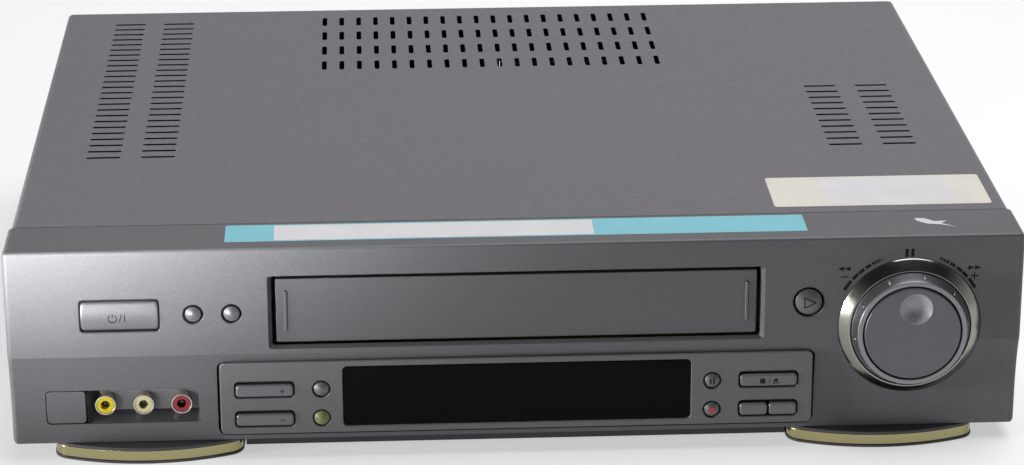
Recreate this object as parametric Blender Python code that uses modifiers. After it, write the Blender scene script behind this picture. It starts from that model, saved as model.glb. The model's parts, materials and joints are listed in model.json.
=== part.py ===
"""A front-loading video cassette recorder, modelled piece by piece at its real size.

World units are metres, +Z is up, the front faces -Y and the origin lies on the shelf under the
middle of the whole machine. Most places here are given as (across, depth, height): across from
the middle, depth behind the flat upper face, and height above the bezel's bottom edge.
"""

import math

import bmesh
import bpy
from mathutils import Euler, Vector

MM = 0.001

# Whole machine
SIDE_BLOCK_WIDTH = 105.4 * MM
SPACE_BEHIND_DECK = 33 * MM
BEZEL_HEIGHT = 82.5 * MM
FOOT_DROP = 7 * MM
DIAL_PROUD = 9 * MM
SOCKET_PROUD = 7 * MM
GAP = 0.3 * MM
OVERRUN = 4 * MM
OVERLAP = 0.5 * MM

# The standard cassette that everything inside is sized round
CASSETTE_WIDTH = 187 * MM
CASSETTE_LENGTH = 103 * MM
CASSETTE_THICKNESS = 25 * MM
REEL_SPACING = 92.4 * MM
REEL_BEHIND_CASSETTE_FRONT = 42 * MM

# Bezel
BEZEL_DEPTH = 28.5 * MM
BEZEL_WALL = 2.5 * MM
CREASE_HEIGHT = 38.3 * MM
LOWER_SETBACK = 4.5 * MM
TOP_ROUND_BACK = 3 * MM
TOP_ROUND_DROP = 3.5 * MM
BEZEL_EDGE_ROUND = 2 * MM

# Cassette opening and door
OPENING_SIDE_CLEARANCE = 1.1 * MM
OPENING_SPARE_HEIGHT = 1.2 * MM
OPENING_BOTTOM = 42.5 * MM
FRAME_CHAMFER_SIDE = 3.2 * MM
FRAME_CHAMFER_TOP = 2.1 * MM
FRAME_CHAMFER_DEPTH = 2 * MM
DOOR_LAP = 0.7 * MM
DOOR_THICKNESS = 2 * MM
DOOR_PIN_RADIUS = 1 * MM
DOOR_PIN_BEHIND_WALL = 1.5 * MM
DOOR_PIN_ABOVE_PLATE = 1.2 * MM
DOOR_PIN_LENGTH = 3.2 * MM
DOOR_LUG_WIDTH = 2.4 * MM
DOOR_EAR_GAP = 0.6 * MM
DOOR_EAR_WIDTH = 2.2 * MM
DOOR_EAR_REACH = 2.8 * MM
DOOR_RIB_INSET = 3 * MM
DOOR_RIB_WIDTH = 2 * MM
DOOR_RIB_HEIGHT = 17 * MM
DOOR_RIB_PROUD = 0.7 * MM

# Control panel under the door
PANEL_END_MARGIN = 5.7 * MM
PANEL_HEIGHT = 30.6 * MM
PANEL_BOTTOM = 4 * MM
PANEL_CORNER = 3 * MM
PANEL_WALL = 2.2 * MM
PANEL_SIDE_WALL = 1.4 * MM
PANEL_FLANGE = 1.8 * MM
PANEL_FLANGE_THICKNESS = 1.5 * MM

# Display window
WINDOW_WIDTH = 137.4 * MM
WINDOW_HEIGHT = 24.8 * MM
WINDOW_CORNER = 3.4 * MM
WINDOW_SETBACK = 0.4 * MM
WINDOW_FLANGE = 1 * MM
WINDOW_FLANGE_THICKNESS = 1 * MM

# Board that the switches, the display and the front sockets are soldered to
BOARD_DEPTH = 18 * MM
BOARD_THICKNESS = 1.6 * MM
BOARD_SIDE_INSET = 9 * MM
BOARD_MIDDLE_TOP = 37 * MM
BOARD_SIDE_TOP = 72 * MM
BOARD_BESIDE_OPENING = 9.4 * MM
SWITCH_SIZE = 5 * MM
SWITCH_HEIGHT = 3 * MM
DISPLAY_TUBE_WIDTH = 104 * MM
DISPLAY_TUBE_HEIGHT = 18 * MM
DISPLAY_TUBE_THICKNESS = 8 * MM

# Push buttons
BUTTON_GAP = 0.5 * MM
BUTTON_FLANGE = 0.9 * MM
BUTTON_FLANGE_THICKNESS = 1 * MM
BUTTON_STEM_RADIUS = 1.6 * MM
BUTTON_TRAVEL = 1.2 * MM
BUTTON_CORNER = 0.8 * MM
UPPER_BUTTON_HEIGHT = 55.4 * MM
POWER_BESIDE_TIMER = 28.6 * MM
POWER_HOLE_WIDTH = 30.4 * MM
POWER_HOLE_HEIGHT = 13.4 * MM
POWER_BULGE = 1.4 * MM
POWER_TRAVEL = 1.8 * MM
POWER_SIDE_DEPTH = 0.6 * MM
TIMER_BESIDE_REVIEW = 15 * MM
REVIEW_BESIDE_OPENING = 17.2 * MM
SMALL_HOLE_RADIUS = 3.8 * MM
PLAY_BESIDE_OPENING = 20.5 * MM
PLAY_HOLE_RADIUS = 6 * MM
CAP_PROUD = 0.8 * MM
CAP_DOME = 0.9 * MM
CAP_CROWN_SHARE = 0.6
UPPER_ROW_HEIGHT = 22.7 * MM
LOWER_ROW_HEIGHT = 10.3 * MM
ROUND_BUTTON_BESIDE_WINDOW = 8.8 * MM
ROUND_HOLE_RADIUS = 3.5 * MM
WIDE_BUTTON_BESIDE_ROUND = 22.4 * MM
WIDE_HOLE_WIDTH = 23.6 * MM
WIDE_HOLE_HEIGHT = 6.5 * MM
WIDE_HOLE_CORNER = 1 * MM
WIDE_CAP_PROUD = 0.6 * MM

# Jog dial and shuttle ring
DIAL_BESIDE_PLAY = 40.2 * MM
DIAL_HEIGHT = 44.6 * MM
DIAL_RING_RADIUS = 28.2 * MM
DIAL_RING_WIDTH = 4.3 * MM
DIAL_RING_PROUD = 4.3 * MM
DIAL_RING_LAND = 0.7 * MM
DIAL_RING_ROUND = 0.8 * MM
DIAL_SLEEVE_WALL = 1 * MM
DIAL_SLEEVE_LENGTH = 5 * MM
DIAL_SEAT_WALL = 0.2 * MM
DIAL_SEAT_SETBACK = 0.3 * MM
DIAL_SEAT_SPARE = 0.2 * MM
SHUTTLE_GAP = 0.4 * MM
SHUTTLE_RIM_RADIUS = 21.6 * MM
SHUTTLE_RIM_WIDTH = 2 * MM
SHUTTLE_RIM_PROUD = 8.7 * MM
SHUTTLE_EDGE = 0.4 * MM
SHUTTLE_WALL_PROUD = 3.6 * MM
SHUTTLE_SKIRT = 3 * MM
SHUTTLE_WALL = 2.5 * MM
SHUTTLE_WEB_PROUD = 4 * MM
SHUTTLE_WEB_THICKNESS = 2.5 * MM
SHUTTLE_HUB_WALL = 1.8 * MM
SHUTTLE_HUB_LENGTH = 8 * MM
SHUTTLE_GRIPS = 10
GRIP_RADIUS = 0.5 * MM
GRIP_FIRST_TURN = math.radians(7)
JOG_GAP = 0.5 * MM
JOG_SHAFT_RADIUS = 3 * MM
JOG_SHAFT_EXTRA = 1 * MM
JOG_THICKNESS = 4 * MM
JOG_EDGE = 0.5 * MM
DIMPLE_RADIUS = 6 * MM
DIMPLE_DEPTH = 1.8 * MM
DIMPLE_ACROSS = 1.1 * MM
DIMPLE_UP = 10.4 * MM
ENCODER_RADIUS = 12 * MM
ENCODER_FRONT = 3.2 * MM

# Front sockets and the blanking plate beside them
POCKET_BESIDE_PANEL = 8.2 * MM
POCKET_WIDTH = 60.6 * MM
POCKET_BOTTOM = 8 * MM
POCKET_HEIGHT = 14.6 * MM
POCKET_CORNER = 1.5 * MM
POCKET_DEPTH = 15.2 * MM
POCKET_BACK = 1.4 * MM
POCKET_LINING = 1 * MM
POCKET_FLANGE = 2 * MM
POCKET_FLANGE_THICKNESS = 1.2 * MM
BLANK_WIDTH = 15 * MM
BLANK_THICKNESS = 2 * MM
BLANK_SETBACK = 3.9 * MM
FRONT_JACK_INSET = 7.3 * MM
FRONT_JACK_SPACING = 15.05 * MM
FRONT_JACK_HEIGHT = 15.5 * MM
FRONT_JACK_FACE = 5 * MM

# Phono sockets, front and rear
PHONO_RADIUS = 4.15 * MM
PHONO_BORE = 1.7 * MM
PHONO_BORE_DEPTH = 9 * MM

# Front feet with their metal bands
FRONT_FOOT_INSET = 53.5 * MM
FRONT_FOOT_WIDTH = 75.3 * MM
FRONT_FOOT_BULGE = 9 * MM
FRONT_FOOT_PROUD = 2 * MM
FRONT_FOOT_LENGTH = 46 * MM
FOOT_LIP = 0.9 * MM
FOOT_BAND_PROUD = 0.8 * MM
FOOT_TOP_LIP_HEIGHT = 1.2 * MM
REAR_FOOT_RADIUS = 11 * MM
REAR_FOOT_SIDE_INSET = 42 * MM
REAR_FOOT_REAR_INSET = 29 * MM
REAR_FOOT_TAPER = 1.5 * MM

# Steel cover
COVER_SHEET = 1.2 * MM
COVER_INSET = 1 * MM
COVER_CORNER = 2.5 * MM
COVER_SKIRT_DROP = 3.8 * MM
SEAM_GAP = 0.5 * MM
SIDE_SLOT_LENGTH = 14.4 * MM
SIDE_SLOT_WIDTH = 2 * MM
SIDE_SLOT_PITCH = 8.08 * MM
SIDE_SLOT_BEHIND_BEZEL = 83.8 * MM
SIDE_SLOT_INNER_INSET = 54.9 * MM
SIDE_SLOT_OUTER_INSET = 32 * MM
LEFT_SLOT_ROWS = 25
RIGHT_SLOT_ROWS = 11
REAR_SLOT_LENGTH = 12.8 * MM
REAR_SLOT_WIDTH = 2.2 * MM
REAR_SLOT_PITCH_ACROSS = 8 * MM
REAR_SLOT_PITCH_DEEP = 23.1 * MM
REAR_SLOT_INSET = 19.2 * MM
REAR_SLOT_COLUMNS = 20
REAR_SLOT_ROWS = 4
TAB_INSET = 80 * MM
TAB_WIDTH = 14 * MM
TAB_HEIGHT = 11 * MM
SCREW_RADIUS = 1.5 * MM
SCREW_HEAD_RADIUS = 3 * MM
SCREW_HEAD_HEIGHT = 1.8 * MM
SCREW_LENGTH = 8 * MM
SCREW_SLOT_WIDTH = 0.8 * MM
SCREW_SLOT_DEPTH = 0.9 * MM

# Chassis tray and rear panel
CHASSIS_DROP = 4.5 * MM
CHASSIS_SHEET = 1.2 * MM
CHASSIS_FRONT = 9 * MM
CHASSIS_WALL_TOP = 12 * MM
CHASSIS_VENTS = 12
CHASSIS_VENT_WIDTH = 3 * MM
CHASSIS_VENT_LENGTH = 34 * MM
CHASSIS_VENT_PITCH = 9 * MM
CHASSIS_VENT_INSET = 48 * MM
CHASSIS_VENT_BEHIND_BEZEL = 141.5 * MM
REAR_INSET = 1.5 * MM
REAR_PANEL_SHEET = 1.5 * MM
POST_RADIUS = 4 * MM
BOARD_POST_RADIUS = 3 * MM

# Main board and power supply
MAIN_BOARD_HEIGHT = 2 * MM
MAIN_BOARD_SIDE_INSET = 10 * MM
MAIN_BOARD_FRONT = 34 * MM
MAIN_BOARD_BEHIND_MOTOR = 17 * MM
MAIN_BOARD_REAR_INSET = 8 * MM
MAIN_BOARD_LEFT_WIDTH = 72 * MM
CHIP_SIZE = 24 * MM
CHIP_HEIGHT = 3 * MM
CAPACITOR_RADIUS = 5 * MM
CAPACITOR_HEIGHT = 11 * MM
SUPPLY_SIDE_INSET = 16 * MM
SUPPLY_WIDTH = 62 * MM
SUPPLY_REAR_INSET = 15 * MM
SUPPLY_LENGTH = 84 * MM
SUPPLY_BASE = 1.6 * MM
SUPPLY_LIFT = 8 * MM
TRANSFORMER_SIZE = 34 * MM
TRANSFORMER_HEIGHT = 28 * MM
SUPPLY_CAN_RADIUS = 11 * MM
SUPPLY_CAN_HEIGHT = 30 * MM
SUPPLY_FIN_THICKNESS = 2 * MM
SUPPLY_FIN_HEIGHT = 30 * MM

# Tape deck
DECK_HEIGHT = 13 * MM
DECK_SHEET = 1.6 * MM
DECK_BESIDE_BRACKET = 4.1 * MM
DECK_FRONT = 36 * MM
DECK_BEHIND_DRUM = 11 * MM
DECK_POST_INSET = 10 * MM
DECK_POST_FRONT = 46 * MM
DECK_POST_BEHIND_CASSETTE = 32 * MM
CARRIAGE_TRAVEL = 66 * MM
LIFT_TRAVEL = 22 * MM
HOLDER_FRONT = 35 * MM
HOLDER_SHEET = 1.1 * MM
HOLDER_SIDE_CLEARANCE = 1 * MM
HOLDER_TOP_CLEARANCE = 0.6 * MM
HOLDER_FLOOR = 42 * MM
HOLDER_LEDGE = 14 * MM
HOLDER_TOP_CUT_SHARE = 0.5
GUIDE_PIN_RADIUS = 1.5 * MM
PLATE_GAP = 2.8 * MM
CARRIAGE_SHEET = 1.5 * MM
CARRIAGE_LENGTH = 42 * MM
CARRIAGE_BEHIND_HOLDER_FRONT = 31 * MM
CARRIAGE_BOTTOM = 29 * MM
CARRIAGE_TOP = 72 * MM
CARRIAGE_BAR_LENGTH = 16 * MM
CARRIAGE_PIN_SPACING = 26 * MM
CARRIAGE_PIN_HEIGHT = 66 * MM
HOLDER_PIN_HEIGHT = 56 * MM
HOLDER_PIN_SPACING = 18 * MM
BRACKET_GAP = 0.5 * MM
BRACKET_SHEET = 1.5 * MM
BRACKET_BEHIND_CASSETTE = 8 * MM
BRACKET_TOP = 73.5 * MM
BRACKET_FOOT = 4 * MM

# Reels
REEL_TABLE_RADIUS = 17 * MM
REEL_TABLE_HEIGHT = 2.6 * MM
REEL_HUB_RADIUS = 9 * MM
REEL_HUB_HEIGHT = 5.5 * MM
REEL_SPINDLE_RADIUS = 4.4 * MM
REEL_SPINDLE_HEIGHT = 16.5 * MM
REEL_TIP_RADIUS = 2 * MM
REEL_SHAFT_RADIUS = 2 * MM
REEL_SHAFT_LENGTH = 5 * MM
REEL_KEYS = 3
REEL_KEY_WIDTH = 1.6 * MM
REEL_KEY_REACH = 1.6 * MM

# Head drum
DRUM_BEHIND_CASSETTE = 15 * MM
DRUM_RADIUS = 31 * MM
DRUM_TILT = math.radians(6)
DRUM_BASE_HEIGHT = 22 * MM
DRUM_BASE_RADIUS = 24 * MM
LOWER_DRUM_HEIGHT = 16 * MM
UPPER_DRUM_HEIGHT = 17.5 * MM
DRUM_SHAFT_RADIUS = 6 * MM
DRUM_SHAFT_LENGTH = 9 * MM
DRUM_RIM = 6 * MM
DRUM_RECESS = 3 * MM
DRUM_CAP_RADIUS = 12 * MM
DRUM_HEADS = 4
DRUM_HEAD_WIDTH = 3 * MM
DRUM_HEAD_DEPTH = 1 * MM

# Tape guides on their slanting tracks past the drum
GUIDE_REST_X = 26 * MM
GUIDE_INSIDE_CASSETTE = 7 * MM
GUIDE_SPREAD = 17 * MM
GUIDE_ADVANCE = 61 * MM
GUIDE_TRACK_WIDTH = 5 * MM
GUIDE_BASE_SIZE = 8 * MM
GUIDE_BASE_HEIGHT = 3 * MM
GUIDE_POST_RADIUS = 2 * MM
GUIDE_ROLLER_RADIUS = 3 * MM
GUIDE_FLANGE_RADIUS = 3.8 * MM
GUIDE_FLANGE_HEIGHT = 1.4 * MM
GUIDE_TOP = 41.5 * MM
GUIDE_ROLLER_BOTTOM = 22 * MM
GUIDE_KEY_LENGTH = 2.5 * MM

# Capstan, its motor and the pinch roller
CAPSTAN_X = 40 * MM
CAPSTAN_INSIDE_CASSETTE = 4 * MM
CAPSTAN_RADIUS = 2 * MM
CAPSTAN_TOP = 41.5 * MM
CAPSTAN_BEARING_RADIUS = 5 * MM
CAPSTAN_BEARING_TOP = 16.2 * MM
FLYWHEEL_RADIUS = 21 * MM
FLYWHEEL_HEIGHT = 4.5 * MM
FLYWHEEL_DROP = 4 * MM
MOTOR_PLATE_RADIUS = 27 * MM
MOTOR_PLATE_HEIGHT = 2.5 * MM
MOTOR_POSTS = 3
MOTOR_POST_RADIUS = 2 * MM
MOTOR_POST_TURN = math.radians(60)
PINCH_PIVOT_X = 73 * MM
PINCH_PIVOT_BEFORE_CAPSTAN = 12 * MM
PINCH_ARM_LENGTH = 30.8 * MM
PINCH_ARM_TURN = math.radians(115)
PINCH_ARM_WIDTH = 9 * MM
PINCH_ARM_THICKNESS = 2 * MM
PINCH_ARM_HEIGHT = 16.5 * MM
PINCH_PIVOT_RADIUS = 2.5 * MM
PINCH_ROLLER_RADIUS = 7 * MM
PINCH_ROLLER_HEIGHT = 18 * MM
PINCH_AXLE_RADIUS = 1.5 * MM

# Loading motor
LOADING_X = -80 * MM
LOADING_BEHIND_DRUM_AXIS = 12 * MM
LOADING_RADIUS = 9 * MM
LOADING_LENGTH = 26 * MM
LOADING_SHAFT_RADIUS = 1.5 * MM
LOADING_WORM_RADIUS = 3 * MM
LOADING_WORM_LENGTH = 14 * MM
LOADING_CRADLE_WIDTH = 12 * MM

# Sockets on the rear panel
TUNER_INSET = 50 * MM
TUNER_WIDTH = 44 * MM
TUNER_HEIGHT = 44 * MM
TUNER_BOTTOM = 18 * MM
TUNER_LENGTH = 54 * MM
AERIAL_SPACING = 22 * MM
AERIAL_RADIUS = 6.4 * MM
AERIAL_BORE = 4.75 * MM
AERIAL_BORE_DEPTH = 9 * MM
AERIAL_PIN_RADIUS = 1.2 * MM
SCART_X = 34 * MM
SCART_LOWER_HEIGHT = 26 * MM
SCART_SPACING = 26 * MM
SCART_WIDTH = 52 * MM
SCART_HEIGHT = 17 * MM
SCART_LENGTH = 18 * MM
SCART_PROUD = 2 * MM
SCART_CORNER = 2 * MM
SCART_SLOT_WIDTH = 46 * MM
SCART_SLOT_HEIGHT = 11 * MM
SCART_SLOT_DEPTH = 9 * MM
SCART_SLOT_SKEW = 4 * MM
SCART_TONGUE_MARGIN = 2 * MM
PHONO_BLOCK_X = 92 * MM
PHONO_BLOCK_WIDTH = 14 * MM
PHONO_BLOCK_HEIGHT = 32 * MM
PHONO_BLOCK_BOTTOM = 24 * MM
PHONO_BLOCK_LENGTH = 12 * MM
PHONO_REAR_SPACING = 15 * MM
INLET_INSET = 42 * MM
INLET_HEIGHT = 30 * MM
INLET_WIDTH = 20 * MM
INLET_TALL = 13 * MM
INLET_LENGTH = 18 * MM
INLET_PROUD = 1 * MM
INLET_WELL_WIDTH = 16 * MM
INLET_WELL_TALL = 8.4 * MM
INLET_WELL_CORNER = 4 * MM
INLET_WELL_DEPTH = 13 * MM
INLET_PIN_SPACING = 8.6 * MM
INLET_PIN_RADIUS = 1.2 * MM
INLET_PIN_LENGTH = 11 * MM

# How finely round shapes are divided
FINE = 28
MEDIUM = 12
COARSE = 8
ARC_STEPS = 3
CURVE_STEPS = 5
FOOT_STEPS = 8

# Places that several pieces share
OPENING_WIDTH = CASSETTE_WIDTH + 2 * OPENING_SIDE_CLEARANCE
OPENING_HEIGHT = CASSETTE_THICKNESS + OPENING_SPARE_HEIGHT
CASE_WIDTH = OPENING_WIDTH + 2 * SIDE_BLOCK_WIDTH
CASE_SIDE = CASE_WIDTH / 2
CASSETTE_REAR = HOLDER_FRONT + CARRIAGE_TRAVEL + CASSETTE_LENGTH
DRUM_DEPTH = CASSETTE_REAR + DRUM_BEHIND_CASSETTE + DRUM_RADIUS
DECK_REAR = DRUM_DEPTH + DRUM_RADIUS + DECK_BEHIND_DRUM
BODY_DEPTH = DECK_REAR + SPACE_BEHIND_DECK
FACE_Y = DIAL_PROUD - (DIAL_PROUD + BODY_DEPTH + SOCKET_PROUD) / 2
BEZEL_Z = FOOT_DROP
OPENING_TOP = OPENING_BOTTOM + OPENING_HEIGHT
REVIEW_X = -(OPENING_WIDTH / 2 + REVIEW_BESIDE_OPENING)
TIMER_X = REVIEW_X - TIMER_BESIDE_REVIEW
POWER_X = TIMER_X - POWER_BESIDE_TIMER
PLAY_X = OPENING_WIDTH / 2 + PLAY_BESIDE_OPENING
DIAL_X = PLAY_X + DIAL_BESIDE_PLAY
ROUND_BUTTON_X = WINDOW_WIDTH / 2 + ROUND_BUTTON_BESIDE_WINDOW
WIDE_BUTTON_X = ROUND_BUTTON_X + WIDE_BUTTON_BESIDE_ROUND
PANEL_WIDTH = 2 * (WIDE_BUTTON_X + PANEL_END_MARGIN) + WIDE_HOLE_WIDTH
POCKET_RIGHT = -(PANEL_WIDTH / 2 + POCKET_BESIDE_PANEL)
POCKET_LEFT = POCKET_RIGHT - POCKET_WIDTH
FRONT_JACK_RIGHT_X = POCKET_RIGHT - FRONT_JACK_INSET
BOARD_WIDTH = CASE_WIDTH - 2 * BOARD_SIDE_INSET
BOARD_SIDE_INNER = OPENING_WIDTH / 2 + BOARD_BESIDE_OPENING
FRONT_FOOT_X = CASE_SIDE - FRONT_FOOT_INSET
REAR_FOOT_X = CASE_SIDE - REAR_FOOT_SIDE_INSET
REAR_FOOT_DEPTH = BODY_DEPTH - REAR_FOOT_REAR_INSET
PANEL_BACK = BEZEL_WALL + LOWER_SETBACK + GAP
COVER_HALF_WIDTH = CASE_SIDE - COVER_INSET
SIDE_SLOT_FRONT = BEZEL_DEPTH + SIDE_SLOT_BEHIND_BEZEL
SIDE_SLOT_INNER_X = CASE_SIDE - SIDE_SLOT_INNER_INSET
SIDE_SLOT_OUTER_X = CASE_SIDE - SIDE_SLOT_OUTER_INSET
REAR_SLOT_FRONT = BODY_DEPTH - REAR_SLOT_INSET - (REAR_SLOT_ROWS - 1) * REAR_SLOT_PITCH_DEEP
TAB_X = CASE_SIDE - TAB_INSET
CHASSIS_HALF_WIDTH = COVER_HALF_WIDTH - COVER_SHEET - GAP
CHASSIS_FLOOR = CHASSIS_SHEET - CHASSIS_DROP
CHASSIS_VENT_X = CHASSIS_VENT_INSET - CASE_SIDE
CHASSIS_VENT_DEPTH = BEZEL_DEPTH + CHASSIS_VENT_BEHIND_BEZEL
REAR_FACE = BODY_DEPTH - REAR_INSET
DECK_TOP = DECK_HEIGHT + DECK_SHEET
SEAT = DECK_TOP + GAP
HOLDER_INNER = CASSETTE_WIDTH / 2 + HOLDER_SIDE_CLEARANCE
HOLDER_OUTER = HOLDER_INNER + HOLDER_SHEET
HOLDER_LENGTH = CASSETTE_LENGTH + HOLDER_SHEET
HOLDER_MOUTH = HOLDER_FLOOR + HOLDER_SHEET
HOLDER_TOP = HOLDER_MOUTH + CASSETTE_THICKNESS + HOLDER_TOP_CLEARANCE
CARRIAGE_INNER = HOLDER_OUTER + PLATE_GAP
CARRIAGE_OUTER = CARRIAGE_INNER + CARRIAGE_SHEET
CARRIAGE_FRONT = HOLDER_FRONT + CARRIAGE_BEHIND_HOLDER_FRONT
CARRIAGE_MIDDLE = CARRIAGE_FRONT + CARRIAGE_LENGTH / 2
BRACKET_INNER = CARRIAGE_OUTER + BRACKET_GAP
BRACKET_OUTER = BRACKET_INNER + BRACKET_SHEET
BRACKET_REAR = CASSETTE_REAR + BRACKET_BEHIND_CASSETTE
DECK_HALF_WIDTH = BRACKET_OUTER + DECK_BESIDE_BRACKET
DECK_POST_X = DECK_HALF_WIDTH - DECK_POST_INSET
DECK_POST_REAR = CASSETTE_REAR + DECK_POST_BEHIND_CASSETTE
GUIDE_REST_DEPTH = CASSETTE_REAR - GUIDE_INSIDE_CASSETTE
CAPSTAN_DEPTH = CASSETTE_REAR - CAPSTAN_INSIDE_CASSETTE
PINCH_PIVOT_DEPTH = CAPSTAN_DEPTH - PINCH_PIVOT_BEFORE_CAPSTAN
LOADING_DEPTH = DRUM_DEPTH + LOADING_BEHIND_DRUM_AXIS
MAIN_BOARD_HALF_WIDTH = CASE_SIDE - MAIN_BOARD_SIDE_INSET
MAIN_BOARD_STRIP_FRONT = CAPSTAN_DEPTH + MOTOR_PLATE_RADIUS + MAIN_BOARD_BEHIND_MOTOR
MAIN_BOARD_REAR = BODY_DEPTH - MAIN_BOARD_REAR_INSET
SUPPLY_LEFT = SUPPLY_SIDE_INSET - CASE_SIDE
SUPPLY_FRONT = BODY_DEPTH - SUPPLY_REAR_INSET - SUPPLY_LENGTH
TUNER_X = CASE_SIDE - TUNER_INSET
INLET_X = INLET_INSET - CASE_SIDE
REEL_DEPTH = HOLDER_FRONT + CARRIAGE_TRAVEL + REEL_BEHIND_CASSETTE_FRONT
DOOR_FRONT = BEZEL_WALL + GAP
DOOR_BOTTOM = OPENING_BOTTOM - DOOR_LAP
DOOR_TOP = OPENING_TOP + DOOR_LAP
DOOR_HALF_WIDTH = OPENING_WIDTH / 2 + DOOR_LAP
DOOR_PIVOT_DEPTH = BEZEL_WALL + DOOR_PIN_BEHIND_WALL
DOOR_PIVOT_HEIGHT = DOOR_TOP + DOOR_PIN_ABOVE_PLATE
SWITCH_FRONT = BOARD_DEPTH - SWITCH_HEIGHT
DIAL_INNER = DIAL_RING_RADIUS - DIAL_RING_WIDTH
DIAL_HOLE = DIAL_INNER + DIAL_SLEEVE_WALL + GAP

# Turns that lay a flat shape in the plane it belongs to
FLAT = (0, 0, 0)
UPRIGHT = (math.pi / 2, 0, 0)
ACROSS = (math.pi / 2, 0, math.pi / 2)

PARTS = "video_cassette_recorder"
TOOLS = "cutters_and_joiners"


def clear_scene():
    for thing in list(bpy.data.objects):
        bpy.data.objects.remove(thing)
    for name in (PARTS, TOOLS):
        bpy.context.scene.collection.children.link(bpy.data.collections.new(name))


def place(across, depth, height):
    """A place on the machine in world coordinates."""
    return Vector((across, FACE_Y + depth, BEZEL_Z + height))


def finish(name, colour, roughness, metallic=0.0):
    """A plain Principled material."""
    material = bpy.data.materials.new(name)
    material.use_nodes = True
    shader = material.node_tree.nodes["Principled BSDF"]
    shader.inputs["Base Color"].default_value = (*colour, 1)
    shader.inputs["Roughness"].default_value = roughness
    shader.inputs["Metallic"].default_value = metallic
    return material


def make_finishes():
    return {
        "silver": finish("silver_paint", (0.42, 0.42, 0.44), 0.38, 0.5),
        "panel": finish("panel_paint", (0.3, 0.3, 0.32), 0.4, 0.5),
        "cover": finish("cover_paint", (0.17, 0.17, 0.19), 0.45, 0.3),
        "chrome": finish("bright_plating", (0.7, 0.7, 0.66), 0.12, 1.0),
        "satin": finish("satin_plating", (0.45, 0.45, 0.46), 0.3, 0.9),
        "gloss": finish("smoked_acrylic", (0.005, 0.005, 0.006), 0.06),
        "black": finish("black_plastic", (0.02, 0.02, 0.02), 0.5),
        "gold": finish("gold_band", (0.55, 0.5, 0.3), 0.22, 1.0),
        "green": finish("clear_green", (0.3, 0.38, 0.14), 0.3),
        "yellow": finish("yellow_plastic", (0.75, 0.62, 0.03), 0.35),
        "white": finish("white_plastic", (0.75, 0.75, 0.72), 0.35),
        "red": finish("red_plastic", (0.6, 0.02, 0.02), 0.35),
        "steel": finish("zinc_steel", (0.5, 0.5, 0.5), 0.35, 1.0),
        "dark_steel": finish("dark_steel", (0.05, 0.05, 0.055), 0.5, 0.6),
        "aluminium": finish("drum_aluminium", (0.7, 0.7, 0.72), 0.2, 1.0),
        "board": finish("circuit_board", (0.16, 0.1, 0.03), 0.5),
        "rubber": finish("rubber", (0.015, 0.015, 0.015), 0.85),
        "cream": finish("cream_plastic", (0.6, 0.58, 0.5), 0.5),
    }


def add_object(name, mesh, origin, turn, collection):
    thing = bpy.data.objects.new(name, mesh)
    thing.location = origin
    thing.rotation_euler = turn
    bpy.data.collections[collection].objects.link(thing)
    if collection == TOOLS:
        thing.hide_render = True
        thing.display_type = "WIRE"
    return thing


def mesh_from(name, shape):
    mesh = bpy.data.meshes.new(name)
    bmesh.ops.recalc_face_normals(shape, faces=shape.faces)
    shape.to_mesh(mesh)
    shape.free()
    return mesh


def box(name, low, high, edge_round=0.0, collection=TOOLS):
    """A box between two places, its edges rounded on request, with its origin in the middle."""
    low = place(*low)
    high = place(*high)
    size = high - low
    shape = bmesh.new()
    bmesh.ops.create_cube(shape, size=1)
    bmesh.ops.scale(shape, vec=size, verts=shape.verts)
    if edge_round:
        bmesh.ops.bevel(
            shape, geom=shape.edges[:], offset=edge_round, segments=2, profile=0.5, affect="EDGES"
        )
    return add_object(name, mesh_from(name, shape), (low + high) / 2, FLAT, collection)


def rod(name, start, radius, length, axis, steps=COARSE, tip=None, collection=TOOLS):
    """A cylinder, or a cone with a tip radius, from a place along X, Y or Z."""
    shape = bmesh.new()
    tip = radius if tip is None else tip
    bmesh.ops.create_cone(
        shape, cap_ends=True, segments=steps, radius1=radius, radius2=tip, depth=length
    )
    bmesh.ops.translate(shape, vec=(0, 0, length / 2), verts=shape.verts)
    turn = {"X": (0, math.pi / 2, 0), "Y": (-math.pi / 2, 0, 0), "Z": FLAT}[axis]
    return add_object(name, mesh_from(name, shape), place(*start), turn, collection)


def turned(name, profile, start, turn, steps=FINE, collection=TOOLS):
    """A lathe shape: a closed or axis-to-axis profile of (radius, along) points, top first."""
    mesh = bpy.data.meshes.new(name)
    on_axis = profile[0][0] == 0
    count = len(profile)
    last = count - 1 if on_axis else count
    edges = [(i, (i + 1) % count) for i in range(last)]
    mesh.from_pydata([(radius, 0, along) for radius, along in profile], edges, [])
    thing = add_object(name, mesh, place(*start), turn, collection)
    screw = thing.modifiers.new("lathe", "SCREW")
    screw.steps = steps
    screw.render_steps = steps
    screw.use_merge_vertices = True
    screw.merge_threshold = MM / 100
    return thing


def slab(name, outline, thickness, origin, turn, collection=TOOLS):
    """A flat outline, given as 2D points round the origin, made solid to half each side."""
    curve = bpy.data.curves.new(name, "CURVE")
    curve.dimensions = "2D"
    curve.fill_mode = "BOTH"
    curve.extrude = thickness / 2
    line = curve.splines.new("POLY")
    line.points.add(len(outline) - 1)
    for point, (u, v) in zip(line.points, outline):
        point.co = (u, v, 0, 1)
    line.use_cyclic_u = True
    guide = add_object(name + "_outline", curve, origin, turn, TOOLS)
    bpy.context.view_layer.update()
    graph = bpy.context.evaluated_depsgraph_get()
    mesh = bpy.data.meshes.new_from_object(guide.evaluated_get(graph))
    shape = bmesh.new()
    shape.from_mesh(mesh)
    bmesh.ops.remove_doubles(shape, verts=shape.verts, dist=MM / 1000)
    bmesh.ops.recalc_face_normals(shape, faces=shape.faces)
    shape.to_mesh(mesh)
    shape.free()
    mesh.name = name
    bpy.data.objects.remove(guide)
    return add_object(name, mesh, origin, turn, collection)


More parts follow.
